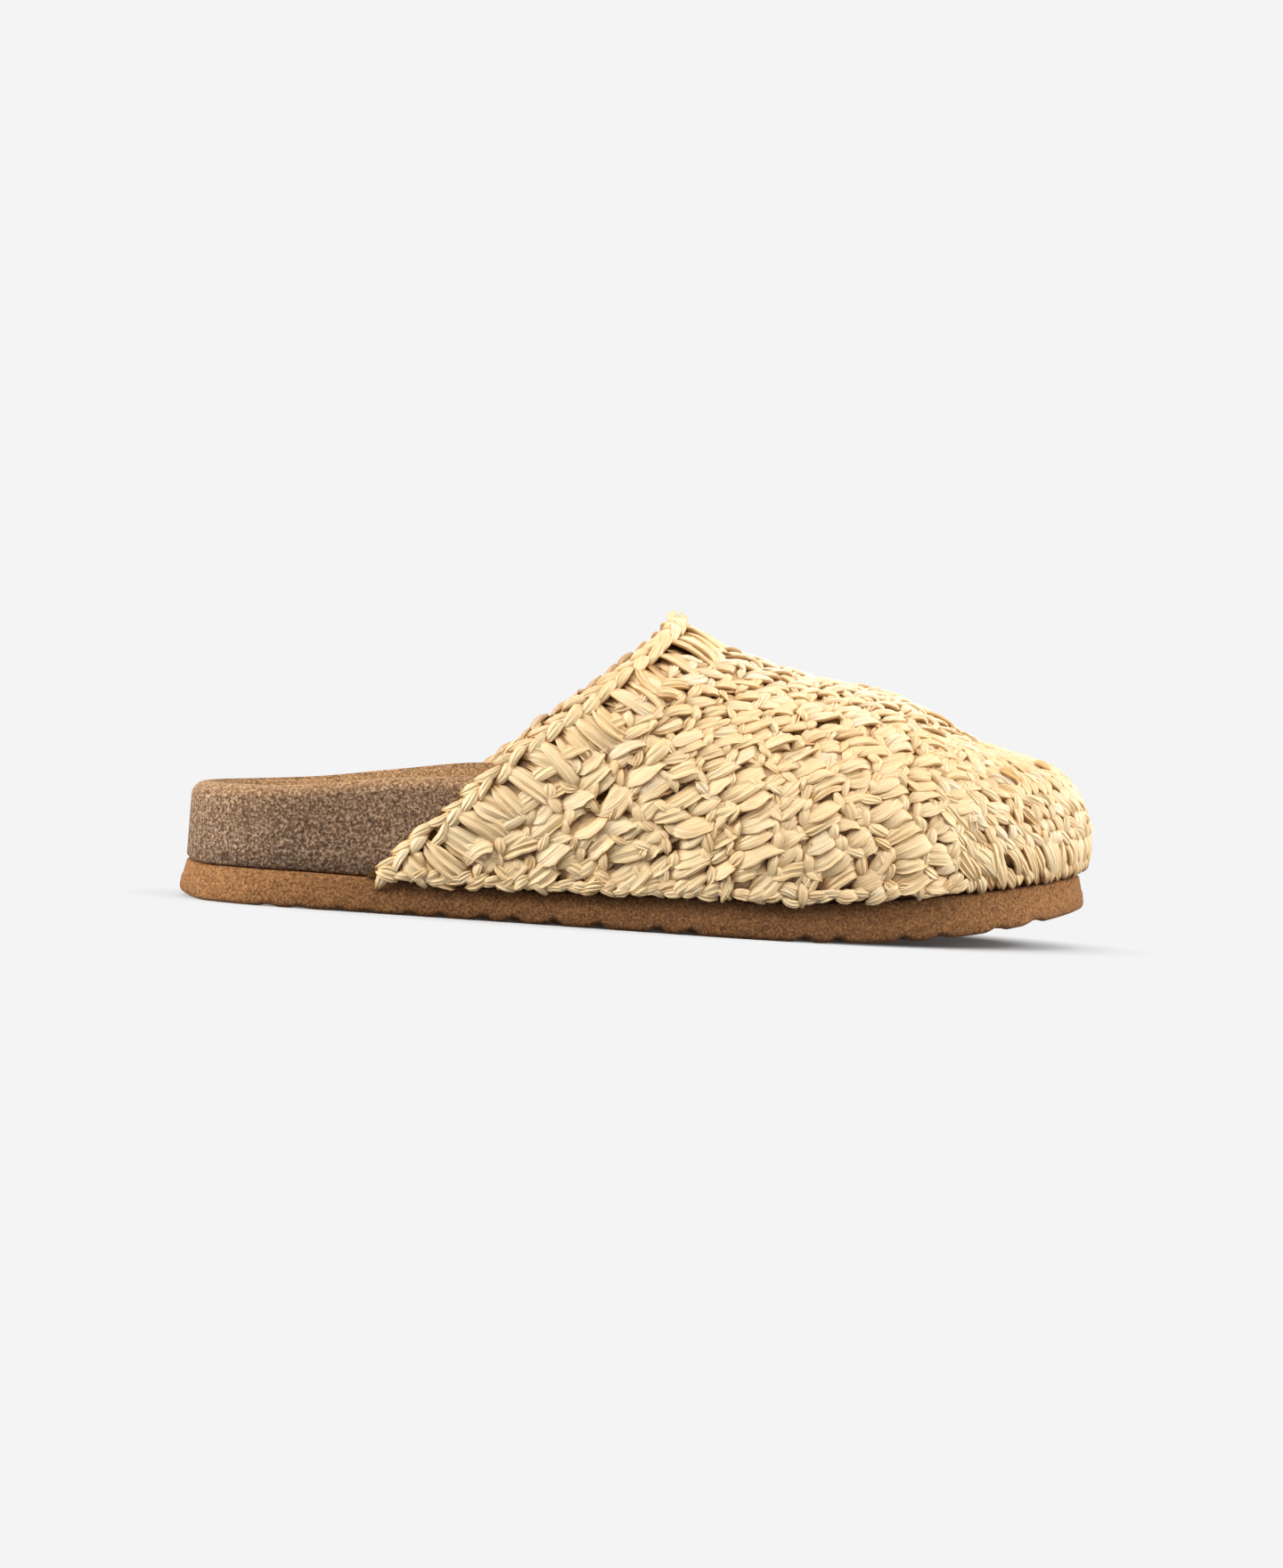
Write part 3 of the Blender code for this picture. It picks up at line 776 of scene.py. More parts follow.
def folded_profile(pleats, detail, random):
    """Shares across each ribbon and heights of its folded upper side, at every section."""
    count = len(pleats)
    places = detail.places[None, :, None]
    even = np.linspace(-FOLD_SPAN, FOLD_SPAN, detail.folds)
    shape = (count, 1, detail.folds)
    stray = random.uniform(-FOLD_STRAY, FOLD_STRAY, shape)
    folds = even + stray + random.uniform(-FOLD_STRAY, FOLD_STRAY, shape) * places
    valley = (np.arange(detail.folds) + random.integers(0, 2, shape[:2])[..., None]) % 2
    depth = np.where(valley > 0, random.uniform(*VALLEYS, shape), random.uniform(*RIDGES, shape))
    depth = depth * pleats[:, None, None]
    swing = random.uniform(*FOLD_WAVES, shape) * places + random.uniform(0.0, 2 * math.pi, shape)
    height = (1 - depth * (1 + FOLD_SWING * np.sin(swing))) * (1 - CROWN * folds ** 2)
    shoulders = random.uniform(*SHOULDER_HEIGHTS, (2, count, 1, 1)) * np.ones_like(places)
    side = np.ones_like(folds[..., :1])

    shares = [-side, -SHOULDER * side]
    heights = [BRIM_HEIGHT * side, shoulders[0]]
    for k in range(detail.folds):
        if k:
            shares.append((folds[..., k - 1:k] + folds[..., k:k + 1]) / 2)
            heights.append((height[..., k - 1:k] + height[..., k:k + 1]) / 2)
        shares.append(folds[..., k:k + 1])
        heights.append(height[..., k:k + 1])
    shares += [SHOULDER * side, side, 0.0 * side]
    heights += [shoulders[1], BRIM_HEIGHT * side, -UNDER_DEPTH * side]
    return np.concatenate(shares, axis=2), np.concatenate(heights, axis=2)


def ribbon_mesh(name, material, ribbons, path, out, under_shade, detail, random):
    """One mesh of many ribbons: flat strips folded along their length, with sunken ends, narrow or blunt."""
    count, sections = path.shape[:2]
    places = detail.places
    tangent = unit(np.gradient(path, axis=1))
    across = unit(np.cross(out, tangent))
    end_power = np.where(ribbons.end > BLUNT, BLUNT_POWER, END_POWER)[:, None]
    ends = np.abs(2 * places)
    rise = 1 - np.where(places < 0, ends ** START_POWER, ends ** end_power)
    start = ribbons.start[:, None] + (1 - ribbons.start[:, None]) * smooth_step(places, *START_TAPER)
    end = ribbons.end[:, None] + (1 - ribbons.end[:, None]) * smooth_step(-places, *END_TAPER)
    wobble = 1 + random.normal(0.0, WOBBLE, (count, sections))
    half = ribbons.width[:, None] / 2 * start * end * wobble
    thick = ribbons.height[:, None] * (0.5 + 0.5 * rise)
    roll = np.tan(np.radians(ribbons.roll[:, None] + ribbons.twist[:, None] * 2 * places))
    middle = ribbons.lift[:, None] - ribbons.dip[:, None] * (1 - rise)
    skew = random.normal(0.0, SKEW, (count, 1)) + random.normal(0.0, SKEW, (count, 1)) * 2 * places

    shares, heights = folded_profile(ribbons.pleat, detail, random)
    aside = shares * half[:, :, None]
    rises = heights * thick[:, :, None] + middle[:, :, None] - aside * roll[:, :, None]
    points = path[:, :, None] + across[:, :, None] * aside[..., None] + out[:, :, None] * rises[..., None]
    points = points + tangent[:, :, None] * (aside * skew[:, :, None])[..., None]

    ring = shares.shape[2]
    index = np.arange(count * sections * ring).reshape(count, sections, ring)
    after = np.roll(index, -1, axis=2)
    sides = np.stack((index[:, :-1], index[:, 1:], after[:, 1:], after[:, :-1]), axis=-1)
    k = np.arange(ring // 2 - 1)
    first, last = index[:, 0], index[:, -1]
    starts = np.stack((first[:, k], first[:, k + 1], first[:, ring - 2 - k], first[:, ring - 1 - k]), axis=-1)
    finishes = np.stack((last[:, k], last[:, ring - 1 - k], last[:, ring - 2 - k], last[:, k + 1]), axis=-1)
    faces = np.concatenate([quads.reshape(-1, 4) for quads in (sides, starts, finishes)])
    piece = add_piece(name, points.reshape(-1, 3), faces.tolist(), material)
    crease(piece, ring, detail.folds)

    lengthwise = (places + 0.5) * ribbons.length[:, None]
    lengthwise = np.broadcast_to(lengthwise[:, :, None], aside.shape)
    number = np.broadcast_to(np.arange(count)[:, None, None] * STRAND_SPACING, aside.shape)
    strand = np.stack((lengthwise, aside, number), axis=-1)
    tint = np.broadcast_to(ribbons.tint[:, None, None], aside.shape)
    # Painted shade, carried in the shade value: darker where the ribbon sinks toward the wall, at its
    # outermost edges, and on its underside unless under_shade lightens it
    edges = EDGE_SHADES + (1.0,) * (ring - 1 - 2 * len(EDGE_SHADES)) + EDGE_SHADES[::-1]
    shade = np.full(rises.shape, under_shade)
    shade[..., :-1] = smooth_step(rises[..., :-1], SHADE_LOW, SHADE_HIGH) * np.array(edges)
    add_attribute(piece, "strand", strand, "FLOAT_VECTOR", "vector")
    add_attribute(piece, "tint", tint)
    add_attribute(piece, "shade", shade)
    return piece


def crease(piece, ring, folds):
    """Marks the edges along the folds and shoulders of ribbons as sharp."""
    ends = np.empty(2 * len(piece.data.edges), np.int32)
    piece.data.edges.foreach_get("vertices", ends)
    spots = ends.reshape(-1, 2) % ring
    lengthwise = spots[:, 0] == spots[:, 1]
    sharp = lengthwise & np.isin(spots[:, 0], (1, *range(2, 2 + 2 * folds, 2), 2 * folds + 1))
    attribute = piece.data.attributes.new("sharp_edge", "BOOLEAN", "EDGE")
    attribute.data.foreach_set("value", sharp)


def add_attribute(piece, name, values, kind="FLOAT", field="value"):
    """A value or a vector at each point of a piece, for its material."""
    attribute = piece.data.attributes.new(name, kind, "POINT")
    attribute.data.foreach_set(field, np.ascontiguousarray(values, np.float32).ravel())


# Crochet

class FlatSide:
    """One side of the upper laid flat, where rows of stitches are traced before they are laid on the wall."""

    def __init__(self, side, inset, lowest, collar_share):
        self.x = np.arange(FLAT_START, TOE_BORDER + FLAT_STEP, FLAT_STEP)
        shares = np.linspace(0.0, 1.0, FLAT_ROWS)
        inward = np.linspace(0.0, 1.0, PATH_POINTS) ** 3
        sections = []
        tops = []
        for x in self.x:
            ridge = ridge_line(x)
            y = ridge + (1 - inward) * (edge(x, side, inset) - ridge)
            station = np.full_like(y, x)
            section = np.stack((station, y, upper_height(station, y, inset)), axis=1)
            tops.append(lengths_along(section)[-1])
            sections.append(spaced(section, shares * tops[-1]))
        self.grid = np.array(sections)
        self.tops = np.array(tops)
        self.top_slopes = np.gradient(self.tops, self.x)
        points = self.grid.reshape(-1, 3)
        free = share_of(points, side) > collar_share
        free &= points[:, 2] > lowest(points[:, 0], side)
        self.free = free.reshape(self.grid.shape[:2])

    def share(self, place):
        """How far up the wall a flat place lies, from 0 at the hem to 1 on the ridge."""
        return place[1] / np.interp(place[0], self.x, self.tops)

    def locate(self, places):
        """Points of the wall at flat places."""
        column = np.clip((places[:, 0] - self.x[0]) / FLAT_STEP, 0.0, len(self.x) - LAST_CELL)
        share = places[:, 1] / np.interp(places[:, 0], self.x, self.tops)
        row = np.clip(share, 0.0, 1.0) * (FLAT_ROWS - LAST_CELL)
        i = column.astype(int)
        j = row.astype(int)
        a = (column - i)[:, None]
        b = (row - j)[:, None]
        near = self.grid[i, j] * (1 - b) + self.grid[i, j + 1] * b
        far = self.grid[i + 1, j] * (1 - b) + self.grid[i + 1, j + 1] * b
        return near * (1 - a) + far * a

    def heading(self, place):
        """Flat direction of the rows: leaning up to the toe low on the side, along the ridge at the top."""
        share = min(self.share(place), 1.0)
        lean = math.radians(LEAN_DEGREES) * (1 - smooth_step(share, *LEAN_SHARES))
        lean = lean * (1 - LEAN_LOSS * smooth_step(place[0], *LEAN_FADE))
        slope = math.tan(lean) + np.interp(place[0], self.x, self.top_slopes) * share ** 2
        return np.array((1.0, slope)) / math.hypot(1.0, slope)

    def inside(self, place):
        column = round((place[0] - self.x[0]) / FLAT_STEP)
        row = round(self.share(place) * (FLAT_ROWS - 1))
        if not (0 <= column < len(self.x) and 0 <= row < FLAT_ROWS):
            return False
        return self.free[column, row]

    def trace(self, seed, taken):
        """One row through a seed, both ways, until it leaves the side or closes in on another row."""
        ways = []
        for way in (-1.0, 1.0):
            line = []
            place = seed
            while self.inside(place) and nearest(taken, place) > ROW_GAP * ROW_PITCH:
                line.append(place)
                place = place + way * ROW_STEP * self.heading(place)
            ways.append(line)
        return np.array(ways[0][:0:-1] + ways[1])

    def rows(self):
        """Evenly spaced rows, the first along the ridge."""
        taken = np.empty((0, 2))
        found = []
        seeds = [np.array((FIRST_SEED, np.interp(FIRST_SEED, self.x, self.tops)))]
        while seeds:
            seed = seeds.pop(0)
            if not self.inside(seed) or nearest(taken, seed) < SEED_GAP * ROW_PITCH:
                continue
            row = self.trace(seed, taken)
            found.append(row)
            taken = np.concatenate((taken, row))
            for place in row[::SEED_SPACING]:
                ahead = self.heading(place)
                across = ROW_PITCH * np.array((-ahead[1], ahead[0]))
                seeds += [place - across, place + across]
        return found


def nearest(places, place):
    """Distance from a flat place to the nearest of others."""
    if len(places) == 0:
        return math.inf
    return np.min(np.hypot(places[:, 0] - place[0], places[:, 1] - place[1]))


def stitches_along(row, flat, patterns, random):
    """Flat places and headings of the ribbons along one row, repeat after repeat, each with its stitch."""
    travelled = np.concatenate(([0.0], np.cumsum(np.hypot(*np.diff(row, axis=0).T))))
    share = flat.share(row[len(row) // 2])
    column = row[0, 0] + COLUMN_TILT * row[0, 1]
    stagger = STAGGER * smooth_step(share, *STAGGER_ZONE)
    start = random.normal(0.0, ROW_DRIFT) + random.uniform(-stagger, stagger) - column % COLUMN_PITCH
    while start < travelled[-1]:
        here = row[np.searchsorted(travelled, np.clip(start, 0.0, travelled[-1]))]
        is_rope = flat.share(here) > random.uniform(*ROPE_ZONE)
        for stitch in patterns[int(is_rope)]:
            place = start + stitch.place + random.normal(0.0, STRAY_ALONG)
            if 0.0 <= place <= travelled[-1]:
                spot = np.array([np.interp(place, travelled, row[:, k]) for k in range(2)])
                yield spot, flat.heading(spot), stitch
        start += COLUMN_PITCH


def lay_body(crochet, side, patterns, lowest, collar_share=BODY_EDGE):
    """The vamp and one side: rows of long ribbons with shorter, steeper ones between them."""
    random = crochet.random
    flat = FlatSide(side, crochet.inset, lowest, collar_share)
    first = 0 if side < 0 else 1
    found = [item for row in flat.rows()[first:] for item in stitches_along(row, flat, patterns, random)]
    ahead = np.array([item[1] for item in found])
    across = np.stack((-ahead[:, 1], ahead[:, 0]), axis=1)
    spots = np.array([item[0] for item in found]) + across * random.normal(0.0, STRAY_UP, (len(found), 1))
    centres = flat.locate(spots)
    along = unit(flat.locate(spots + ahead) - flat.locate(spots - ahead))
    normal = normals(centres, crochet.inset)
    up = -side * np.cross(normal, along)
    for k, (spot, _, stitch) in enumerate(found):
        turn = math.radians(random.choice(stitch.turns) + random.normal(0.0, stitch.spread))
        direction = math.cos(turn) * along[k] + math.sin(turn) * up[k]
        breadth = LOW_BREADTH - (LOW_BREADTH - 1) * float(smooth_step(flat.share(spot), *STAGGER_ZONE))
        # The tint paints highlight high on the wall and shade low down
        crochet.lay(clear_of_hem(centres[k], direction, stitch.length), direction, stitch.length,
                    stitch.width * breadth, stitch.height, stitch.lift, stitch.start, stitch.end,
                    roll=-side * ROLL_DEGREES, tint=np.interp(flat.share(spot), TINT_SHARES, SHADE_AND_HIGHLIGHT_TINTS))


def clear_of_hem(centre, direction, length):
    """A ribbon's centre, moved up along it where its lower end would pass the hem."""
    steep = max(abs(direction[2]), 1e-3)
    below = hem(centre[0]) + HEM_CLEARANCE - (centre[2] - steep * length / 2)
    shift = min(max(below / steep, 0.0), length / 2)
    return centre + math.copysign(shift, direction[2]) * direction


def over_hem(x, side):
    return hem(x) + HEM_ROW


def behind_rim(x, side):
    return rim(x, side) - LINING_TUCK


def toe_border(side):
    """The upper path's share at which the toe begins."""
    hem_x, _, lengths = hem_line(side, 0.0)
    return np.interp(TOE_BORDER, hem_x, lengths) / lengths[-1]


def toe_paths():
    """Paths up the toe from the hem to its top, from the outer border round the tip to the inner one."""
    paths = []
    for side in (-1.0, 1.0):
        half = whole_paths(np.linspace(toe_border(side), 1.0, TOE_PATHS), side)
        paths.extend(half if side < 0 else half[-2::-1])
    return paths


def along_row(paths, height, pitch, first):
    """Places at one height over the hem, with the directions up and on along the row."""
    line = np.array([spaced(path, [height])[0] for path in paths])
    above = np.array([spaced(path, [height + 1.0])[0] for path in paths])
    travelled = lengths_along(line)
    wanted = np.arange(pitch * first, travelled[-1], pitch)

    def at_places(values):
        return np.stack([np.interp(wanted, travelled, values[:, k]) for k in range(3)], axis=1)

    return at_places(line), unit(at_places(above - line)), unit(at_places(np.gradient(line, axis=0)))


def lay_row(crochet, paths, row, first=EVEN_SPACE, tint=0.0):
    """A row of ribbons that stand on it, each turned by one of the row's angles from upright."""
    for centre, up, onward in zip(*along_row(paths, row.up, row.pitch, first)):
        turn = math.radians(crochet.random.choice(row.turns) + crochet.random.normal(0.0, row.spread))
        direction = math.cos(turn) * up + math.sin(turn) * onward
        crochet.lay(centre, direction, row.length, row.width, row.height, row.lift, row.start, row.end,
                    tint=tint)


def lay_leaves(crochet, paths, row, rise, clearance, tint):
    """Rows of leaves, one over the other up to the toe's top, with every other row set on like bricks."""
    top = min(lengths_along(path)[-1] for path in paths) - clearance
    for number, up in enumerate(np.arange(row.up, top, rise)):
        lay_row(crochet, paths, row._replace(up=up), BRICK_SPACES[number % 2], tint)


def lay_toe(crochet):
    """The toe: tall posts over the hem, and narrow leaves, most leaning back, that close in on the top."""
    paths = toe_paths()
    lay_leaves(crochet, paths, TOE_LEAVES, LEAF_RISE, LEAF_CLEARANCE, TOE_HIGHLIGHT_TINT)
    lay_row(crochet, paths, TOE_FEET)
    lay_row(crochet, paths, TOE_POSTS)
    lay_row(crochet, paths[:BORDER_PATHS], BORDER_POSTS)
    lay_row(crochet, paths[-BORDER_PATHS:], BORDER_POSTS)


def collar_line(share):
    """The collar's edge, or a line beside it, from the outer hem over the peak to the inner hem."""
    outer = whole_paths([share], -1.0)[0]
    inner = whole_paths([share], 1.0)[0]
    return np.concatenate((outer, inner[-2::-1]))


def along_collar(share, pitch):
    """Places beside the collar's edge, directions along it and away from the opening, and how it climbs."""
    line = collar_line(share)
    travelled = lengths_along(line)
    wanted = np.arange(pitch / 2, travelled[-1], pitch)
    centres = snap(spaced(line, wanted), 0.0)
    onward = unit(spaced(line, wanted + 0.5) - spaced(line, wanted - 0.5))
    away = np.cross(onward, normals(centres, 0.0))
    climb = np.clip((travelled[-1] / 2 - wanted) / CLIMB_SPAN, -1.0, 1.0)
    return centres, onward, unit(away), climb


def lay_band(crochet):
    """The collar's band: broad stitches side by side, each a strip or a gathered bundle."""
    lay_strips(crochet, BAND_PITCH, BAND_FLAT, BAND_FAN)


def lay_under_edges(crochet):
    """The layer that shows in the gaps of the collar's band and of the toe, darker as painted shade."""
    lay_strips(crochet, UNDER_PITCH, UNDER_FLAT, UNDER_FAN)
    lay_leaves(crochet, toe_paths(), UNDER_LEAVES, UNDER_RISE, 0.0, 0.0)


def lay_strips(crochet, pitch, flat, fan):
    """Strips across the collar's band, some gathered in fans, cut short at the hem."""
    for centre, onward, away, climb in zip(*along_collar(BAND_LINE, pitch)):
        turn = math.radians(BAND_TURN * climb + crochet.random.normal(0.0, BAND_SPREAD))
        direction = math.cos(turn) * away + math.sin(turn) * onward
        aside = np.cross(normals(centre, 0.0), direction)
        reach = snap(centre + direction * BAND_REACH[:, None], 0.0)
        above = np.flatnonzero(reach[:, 2] > hem(reach[:, 0]) + BAND_CLEARANCE)
        if len(above) == 0:
            continue
        far = reach[above[-1]]
        middle = snap((centre + far) / 2, 0.0)
        length = np.linalg.norm(far - centre) + BAND_OVERLAP
        bundle = fan if crochet.random.uniform() < FAN_CHANCE - FAN_LOSS * abs(climb) else flat
        for strip in bundle.strips:
            place = snap(middle + aside * strip.place, 0.0)
            crochet.lay(place, direction + aside * strip.splay, length * strip.length, strip.width,
                        strip.height, strip.lift, bundle.start, bundle.end,
                        roll=math.copysign(ROLL_DEGREES, climb), pleated=bundle.pleated)


def lay_links(crochet, links, lowest, pleated):
    """Links along the collar's edge, where it is over the lowest height."""
    for centre, onward, away, _ in zip(*along_collar(CHAIN_LINE, CHAIN_PITCH)):
        if centre[2] < lowest(centre[0]):
            continue
        for link in links:
            place = snap(centre + away * link.away + onward * link.onward, crochet.inset)
            crochet.lay(place, onward + away * link.lean, link.length, link.width, link.height, link.lift,
                        LINK_START, LINK_END, link.dip, pleated=pleated)


def lay_chain(crochet):
    """The collar's edge: a chain of two rows of links that lean to each other."""
    lay_links(crochet, CHAIN, lambda x: hem(x) + BAND_CLEARANCE, 0.0)


def lay_inner_chain(crochet):
    """The chain's links on the inside of the collar."""
    lay_links(crochet, INNER_CHAIN, lambda x: rim(x, -1.0) + LINING_CLEARANCE, PLEATED)


def lay_hem(crochet):
    """The hem of each side, up to the toe: small knobbly loops on the edge of the sole."""
    for side in (-1.0, 1.0):
        paths = whole_paths(np.linspace(HEM_START, toe_border(side), 3 * TOE_PATHS), side)
        if side > 0:
            paths.reverse()
        lay_row(crochet, paths, HEM_LOOPS)
        lay_row(crochet, paths, HEM_EDGE)


def lay_ends(crochet):
    """Tanned ends of ribbon that lie loose on the crochet of the toe."""
    for loose in LOOSE_ENDS:
        middle = np.array((loose.x, ridge_line(loose.x) - loose.aside, 0.0))
        middle[2] = upper_height(middle[0], middle[1], 0.0)
        crochet.lay(middle, np.array((1.0, 0.0, loose.slope)), loose.length, width=2.5, height=1.3, lift=1.9,
                    start=0.4, end=0.9, tint=3.0)


def lay_knot(crochet):
    """The knot at the collar's peak, with the two cut ends of its ribbon."""
    x = COLLAR_PEAK + KNOT_SETBACK
    peak = np.array((x, ridge_line(x), crown(np.array(x), 0.0)))
    to_outer_side = np.array((0.0, -1.0, 0.0))
    for points, height in zip(KNOT, KNOT_HEIGHTS):
        crochet.lay_free(peak + points, to_outer_side, KNOT_WIDTH, height)


def make_wall(material):
    """The ground of the crochet behind its ribbons: one thin wall, open at the collar and underneath."""
    shares = list(np.linspace(0.0, 1.0, WALL_PATHS))
    heights = np.linspace(0.0, 1.0, WALL_ROWS)
    shell = Shell()
    sheets = []
    for inset in (WALL_SKIN, WALL):
        grid = upper_grid(shares, heights, inset)
        last = len(grid) - 1
        paths = []
        for k, path in enumerate(grid):
            if k <= last - k:
                paths.append(shell.add(path))
            else:
                paths.append(shell.add(path[:-1]) + [paths[last - k][-1]])
        shell.sweep(paths, closed=False)
        sheets.append(paths)
    skin, lining = sheets
    shell.bridge([path[0] for path in skin], [path[0] for path in lining], closed=False)
    shell.bridge(skin[0], lining[0], closed=False)
    shell.bridge(skin[-1], lining[-1], closed=False)
    return shell.build("upper_wall", material, "raffia", ("upper",))


# Sole

def ring_points(stations, inset, height):
    """A closed loop round the outline: outer side from heel to toe, then inner side back to the heel."""
    outer_x, outer_y = outline(stations, -1.0, inset)
    inner_x, inner_y = outline(stations, 1.0, inset)
    outer = np.stack((outer_x, outer_y, height(outer_x, -1.0)), axis=1)
    inner = np.stack((inner_x, inner_y, height(inner_x, 1.0)), axis=1)
    return np.concatenate((outer, inner[-2:0:-1]))


def across_rows(ring, middles=None):
    """Rows from the outer to the inner side of a closed loop, with points between them where given."""
    half = len(ring) // 2
    rows = [[ring[0]]]
    for k in range(1, half):
        between = middles[k - 1] if middles else []
        rows.append([ring[k]] + between + [ring[-k]])
    return rows + [[ring[half]]]


def end_rounded_stations(count):
    return LENGTH * (0.5 - 0.5 * np.cos(np.linspace(0.0, math.pi, count)))


def groove_depth(x):
    """How far the tread's rounded grooves lift the tread at a station."""
    distance = np.min(np.abs(np.subtract.outer(x, GROOVES)), axis=1) / GROOVE_HALF_WIDTH
    return GROOVE_DEPTH * np.cos(np.clip(distance, 0.0, 1.0) * math.pi / 2) ** 2


def make_outsole(material):
    """Foam outsole: flared side with one soft rib, lugged tread with wavy grooves."""
    stations = end_rounded_stations(SOLE_STATIONS)
    depth = groove_depth(stations)
    side_depth = depth * np.interp(stations, EDGE_PLACES, EDGE_DEPTHS)
    lug = np.concatenate((side_depth, side_depth[-2:0:-1]))
    shell = Shell()
    loops = []
    for inset, rise, groove_share in SIDE_LOOPS:
        ring = ring_points(stations, inset, lambda x, side: ground(x) + rise)
        ring[:, 2] += lug * groove_share
        loops.append(shell.add(ring))
    loops.append(shell.add(ring_points(stations, FLARE, lambda x, side: outsole_top(x) - LIP)))
    loops.append(shell.add(ring_points(stations, FLARE + LIP, lambda x, side: outsole_top(x))))
    shell.sweep(loops)
    shell.fill(across_rows(loops[-1]))

    middles = []
    shares = np.linspace(-TREAD_REACH, TREAD_REACH, TREAD_ACROSS)
    for station, lift in zip(stations[1:-1], depth[1:-1]):
        calm = smooth_step(station, 0.0, HEEL_ROUND) * smooth_step(-station, -LENGTH, HEEL_ROUND - LENGTH)
        along = station - calm * GROOVE_WAVE * (1 - np.cos(2 * math.pi * shares))
        outer_x, outer_y = outline(along, -1.0, EDGE_BEVEL)
        inner_y = outline(along, 1.0, EDGE_BEVEL)[1]
        y = (outer_y + inner_y) / 2 + shares * (inner_y - outer_y) / 2
        middles.append(shell.add(np.stack((outer_x, y, ground(outer_x) + lift), axis=1)))
    shell.fill(across_rows(loops[0], middles))
    piece = shell.build("outsole_foam", material, "foam", ("outsole",))
    # The rim value here marks painted shade: darkest in the middle of the shoe and toward the bottom of its
    # side
    x, _, z = np.array(shell.points).T
    low = 1 - np.clip((z - ground(x)) / from_table(SOLE, "thickness", x), 0.0, 1.0)
    middle = smooth_step(x, *DARKENS) * (1 - smooth_step(x, *PALES))
    add_attribute(piece, "rim", middle * (DARK_TOP + (1 - DARK_TOP) * low))
    return piece


def footbed_inset(x, height_share):
    """The footbed's side stands back from the outline, more so under the upper's wall."""
    covered = smooth_step(x, COLLAR_START, COLLAR_FULL)
    foot = HEEL_INSET + (FRONT_INSET - HEEL_INSET) * covered
    draft = HEEL_DRAFT + (FRONT_DRAFT - HEEL_DRAFT) * covered
    return foot + draft * height_share


def rim(x, side):
    return from_table(SOLE, "outer_rim" if side < 0 else "inner_rim", x)


def footbed_ring(stations, height_share, extra_inset, height):
    """A loop round the footbed, whose inset changes along the shoe."""
    return ring_points(stations, footbed_inset(stations, height_share) + extra_inset, height)


def bed_ring(stations, share, drop):
    """A loop on the foot's bed, at a share of the way from its seat in the middle up to the rim."""
    inset = footbed_inset(stations, 1.0) + RIM_RADIUS + RIM_FLAT
    ring = ring_points(stations, inset, rim)
    middle = from_table(PLAN, "centre", np.concatenate((stations, stations[-2:0:-1])))
    ring[:, 0] = LENGTH / 2 + (ring[:, 0] - LENGTH / 2) * (1 - BED_SHORTENING * (1 - share))
    ring[:, 1] = middle + (ring[:, 1] - middle) * share
    seat = from_table(SOLE, "seat", ring[:, 0])
    ring[:, 2] = seat + (ring[:, 2] - seat) * share ** BED_POWER - drop
    return ring


def make_footbed(material):
    """Cork footbed: upright side, rounded rim, cupped bed let in for the insole."""
    stations = end_rounded_stations(BED_STATIONS)
    rings = [footbed_ring(stations, 0.0, EDGE_BEVEL, lambda x, side: hem(x))]
    for share in SIDE_SHARES:
        rings.append(footbed_ring(
            stations, share, 0.0,
            lambda x, side: hem(x) + EDGE_BEVEL + share * (rim(x, side) - RIM_RADIUS - hem(x) - EDGE_BEVEL)))
    for step in range(RIM_STEPS):
        turn = math.pi / 2 * step / (RIM_STEPS - 1)
        rings.append(footbed_ring(stations, 1.0, RIM_RADIUS * (1 - math.cos(turn)),
                                  lambda x, side: rim(x, side) - RIM_RADIUS * (1 - math.sin(turn))))
    rings.append(bed_ring(stations, 1.0, 0.0))
    rings.extend(bed_ring(stations, share, RECESS) for share in BED_SHARES)
    shell = Shell()
    loops = [shell.add(ring) for ring in rings]
    shell.enclose(loops)
    piece = shell.build("footbed_cork", material, "cork", ("footbed",))
    warmth = [RIM_TONES[k] if k < len(RIM_TONES) else 1.0 for k in range(len(loops))]
    add_attribute(piece, "rim", np.repeat(warmth, len(loops[0])))
    return piece


def make_insole(material):
    """Suede sock lining laid into the footbed's recess."""
    stations = end_rounded_stations(BED_STATIONS)
    shares = (BED_SHARES[0] - INSOLE_CLEARANCE,) + BED_SHARES[1:]
    shell = Shell()
    under = [shell.add(bed_ring(stations, share, INSOLE_THICKNESS)) for share in reversed(shares)]
    over = [shell.add(bed_ring(stations, share, 0.0)) for share in shares]
    shell.enclose(under + over)
    return shell.build("insole_suede", material, "suede", ("insole",))


# Materials

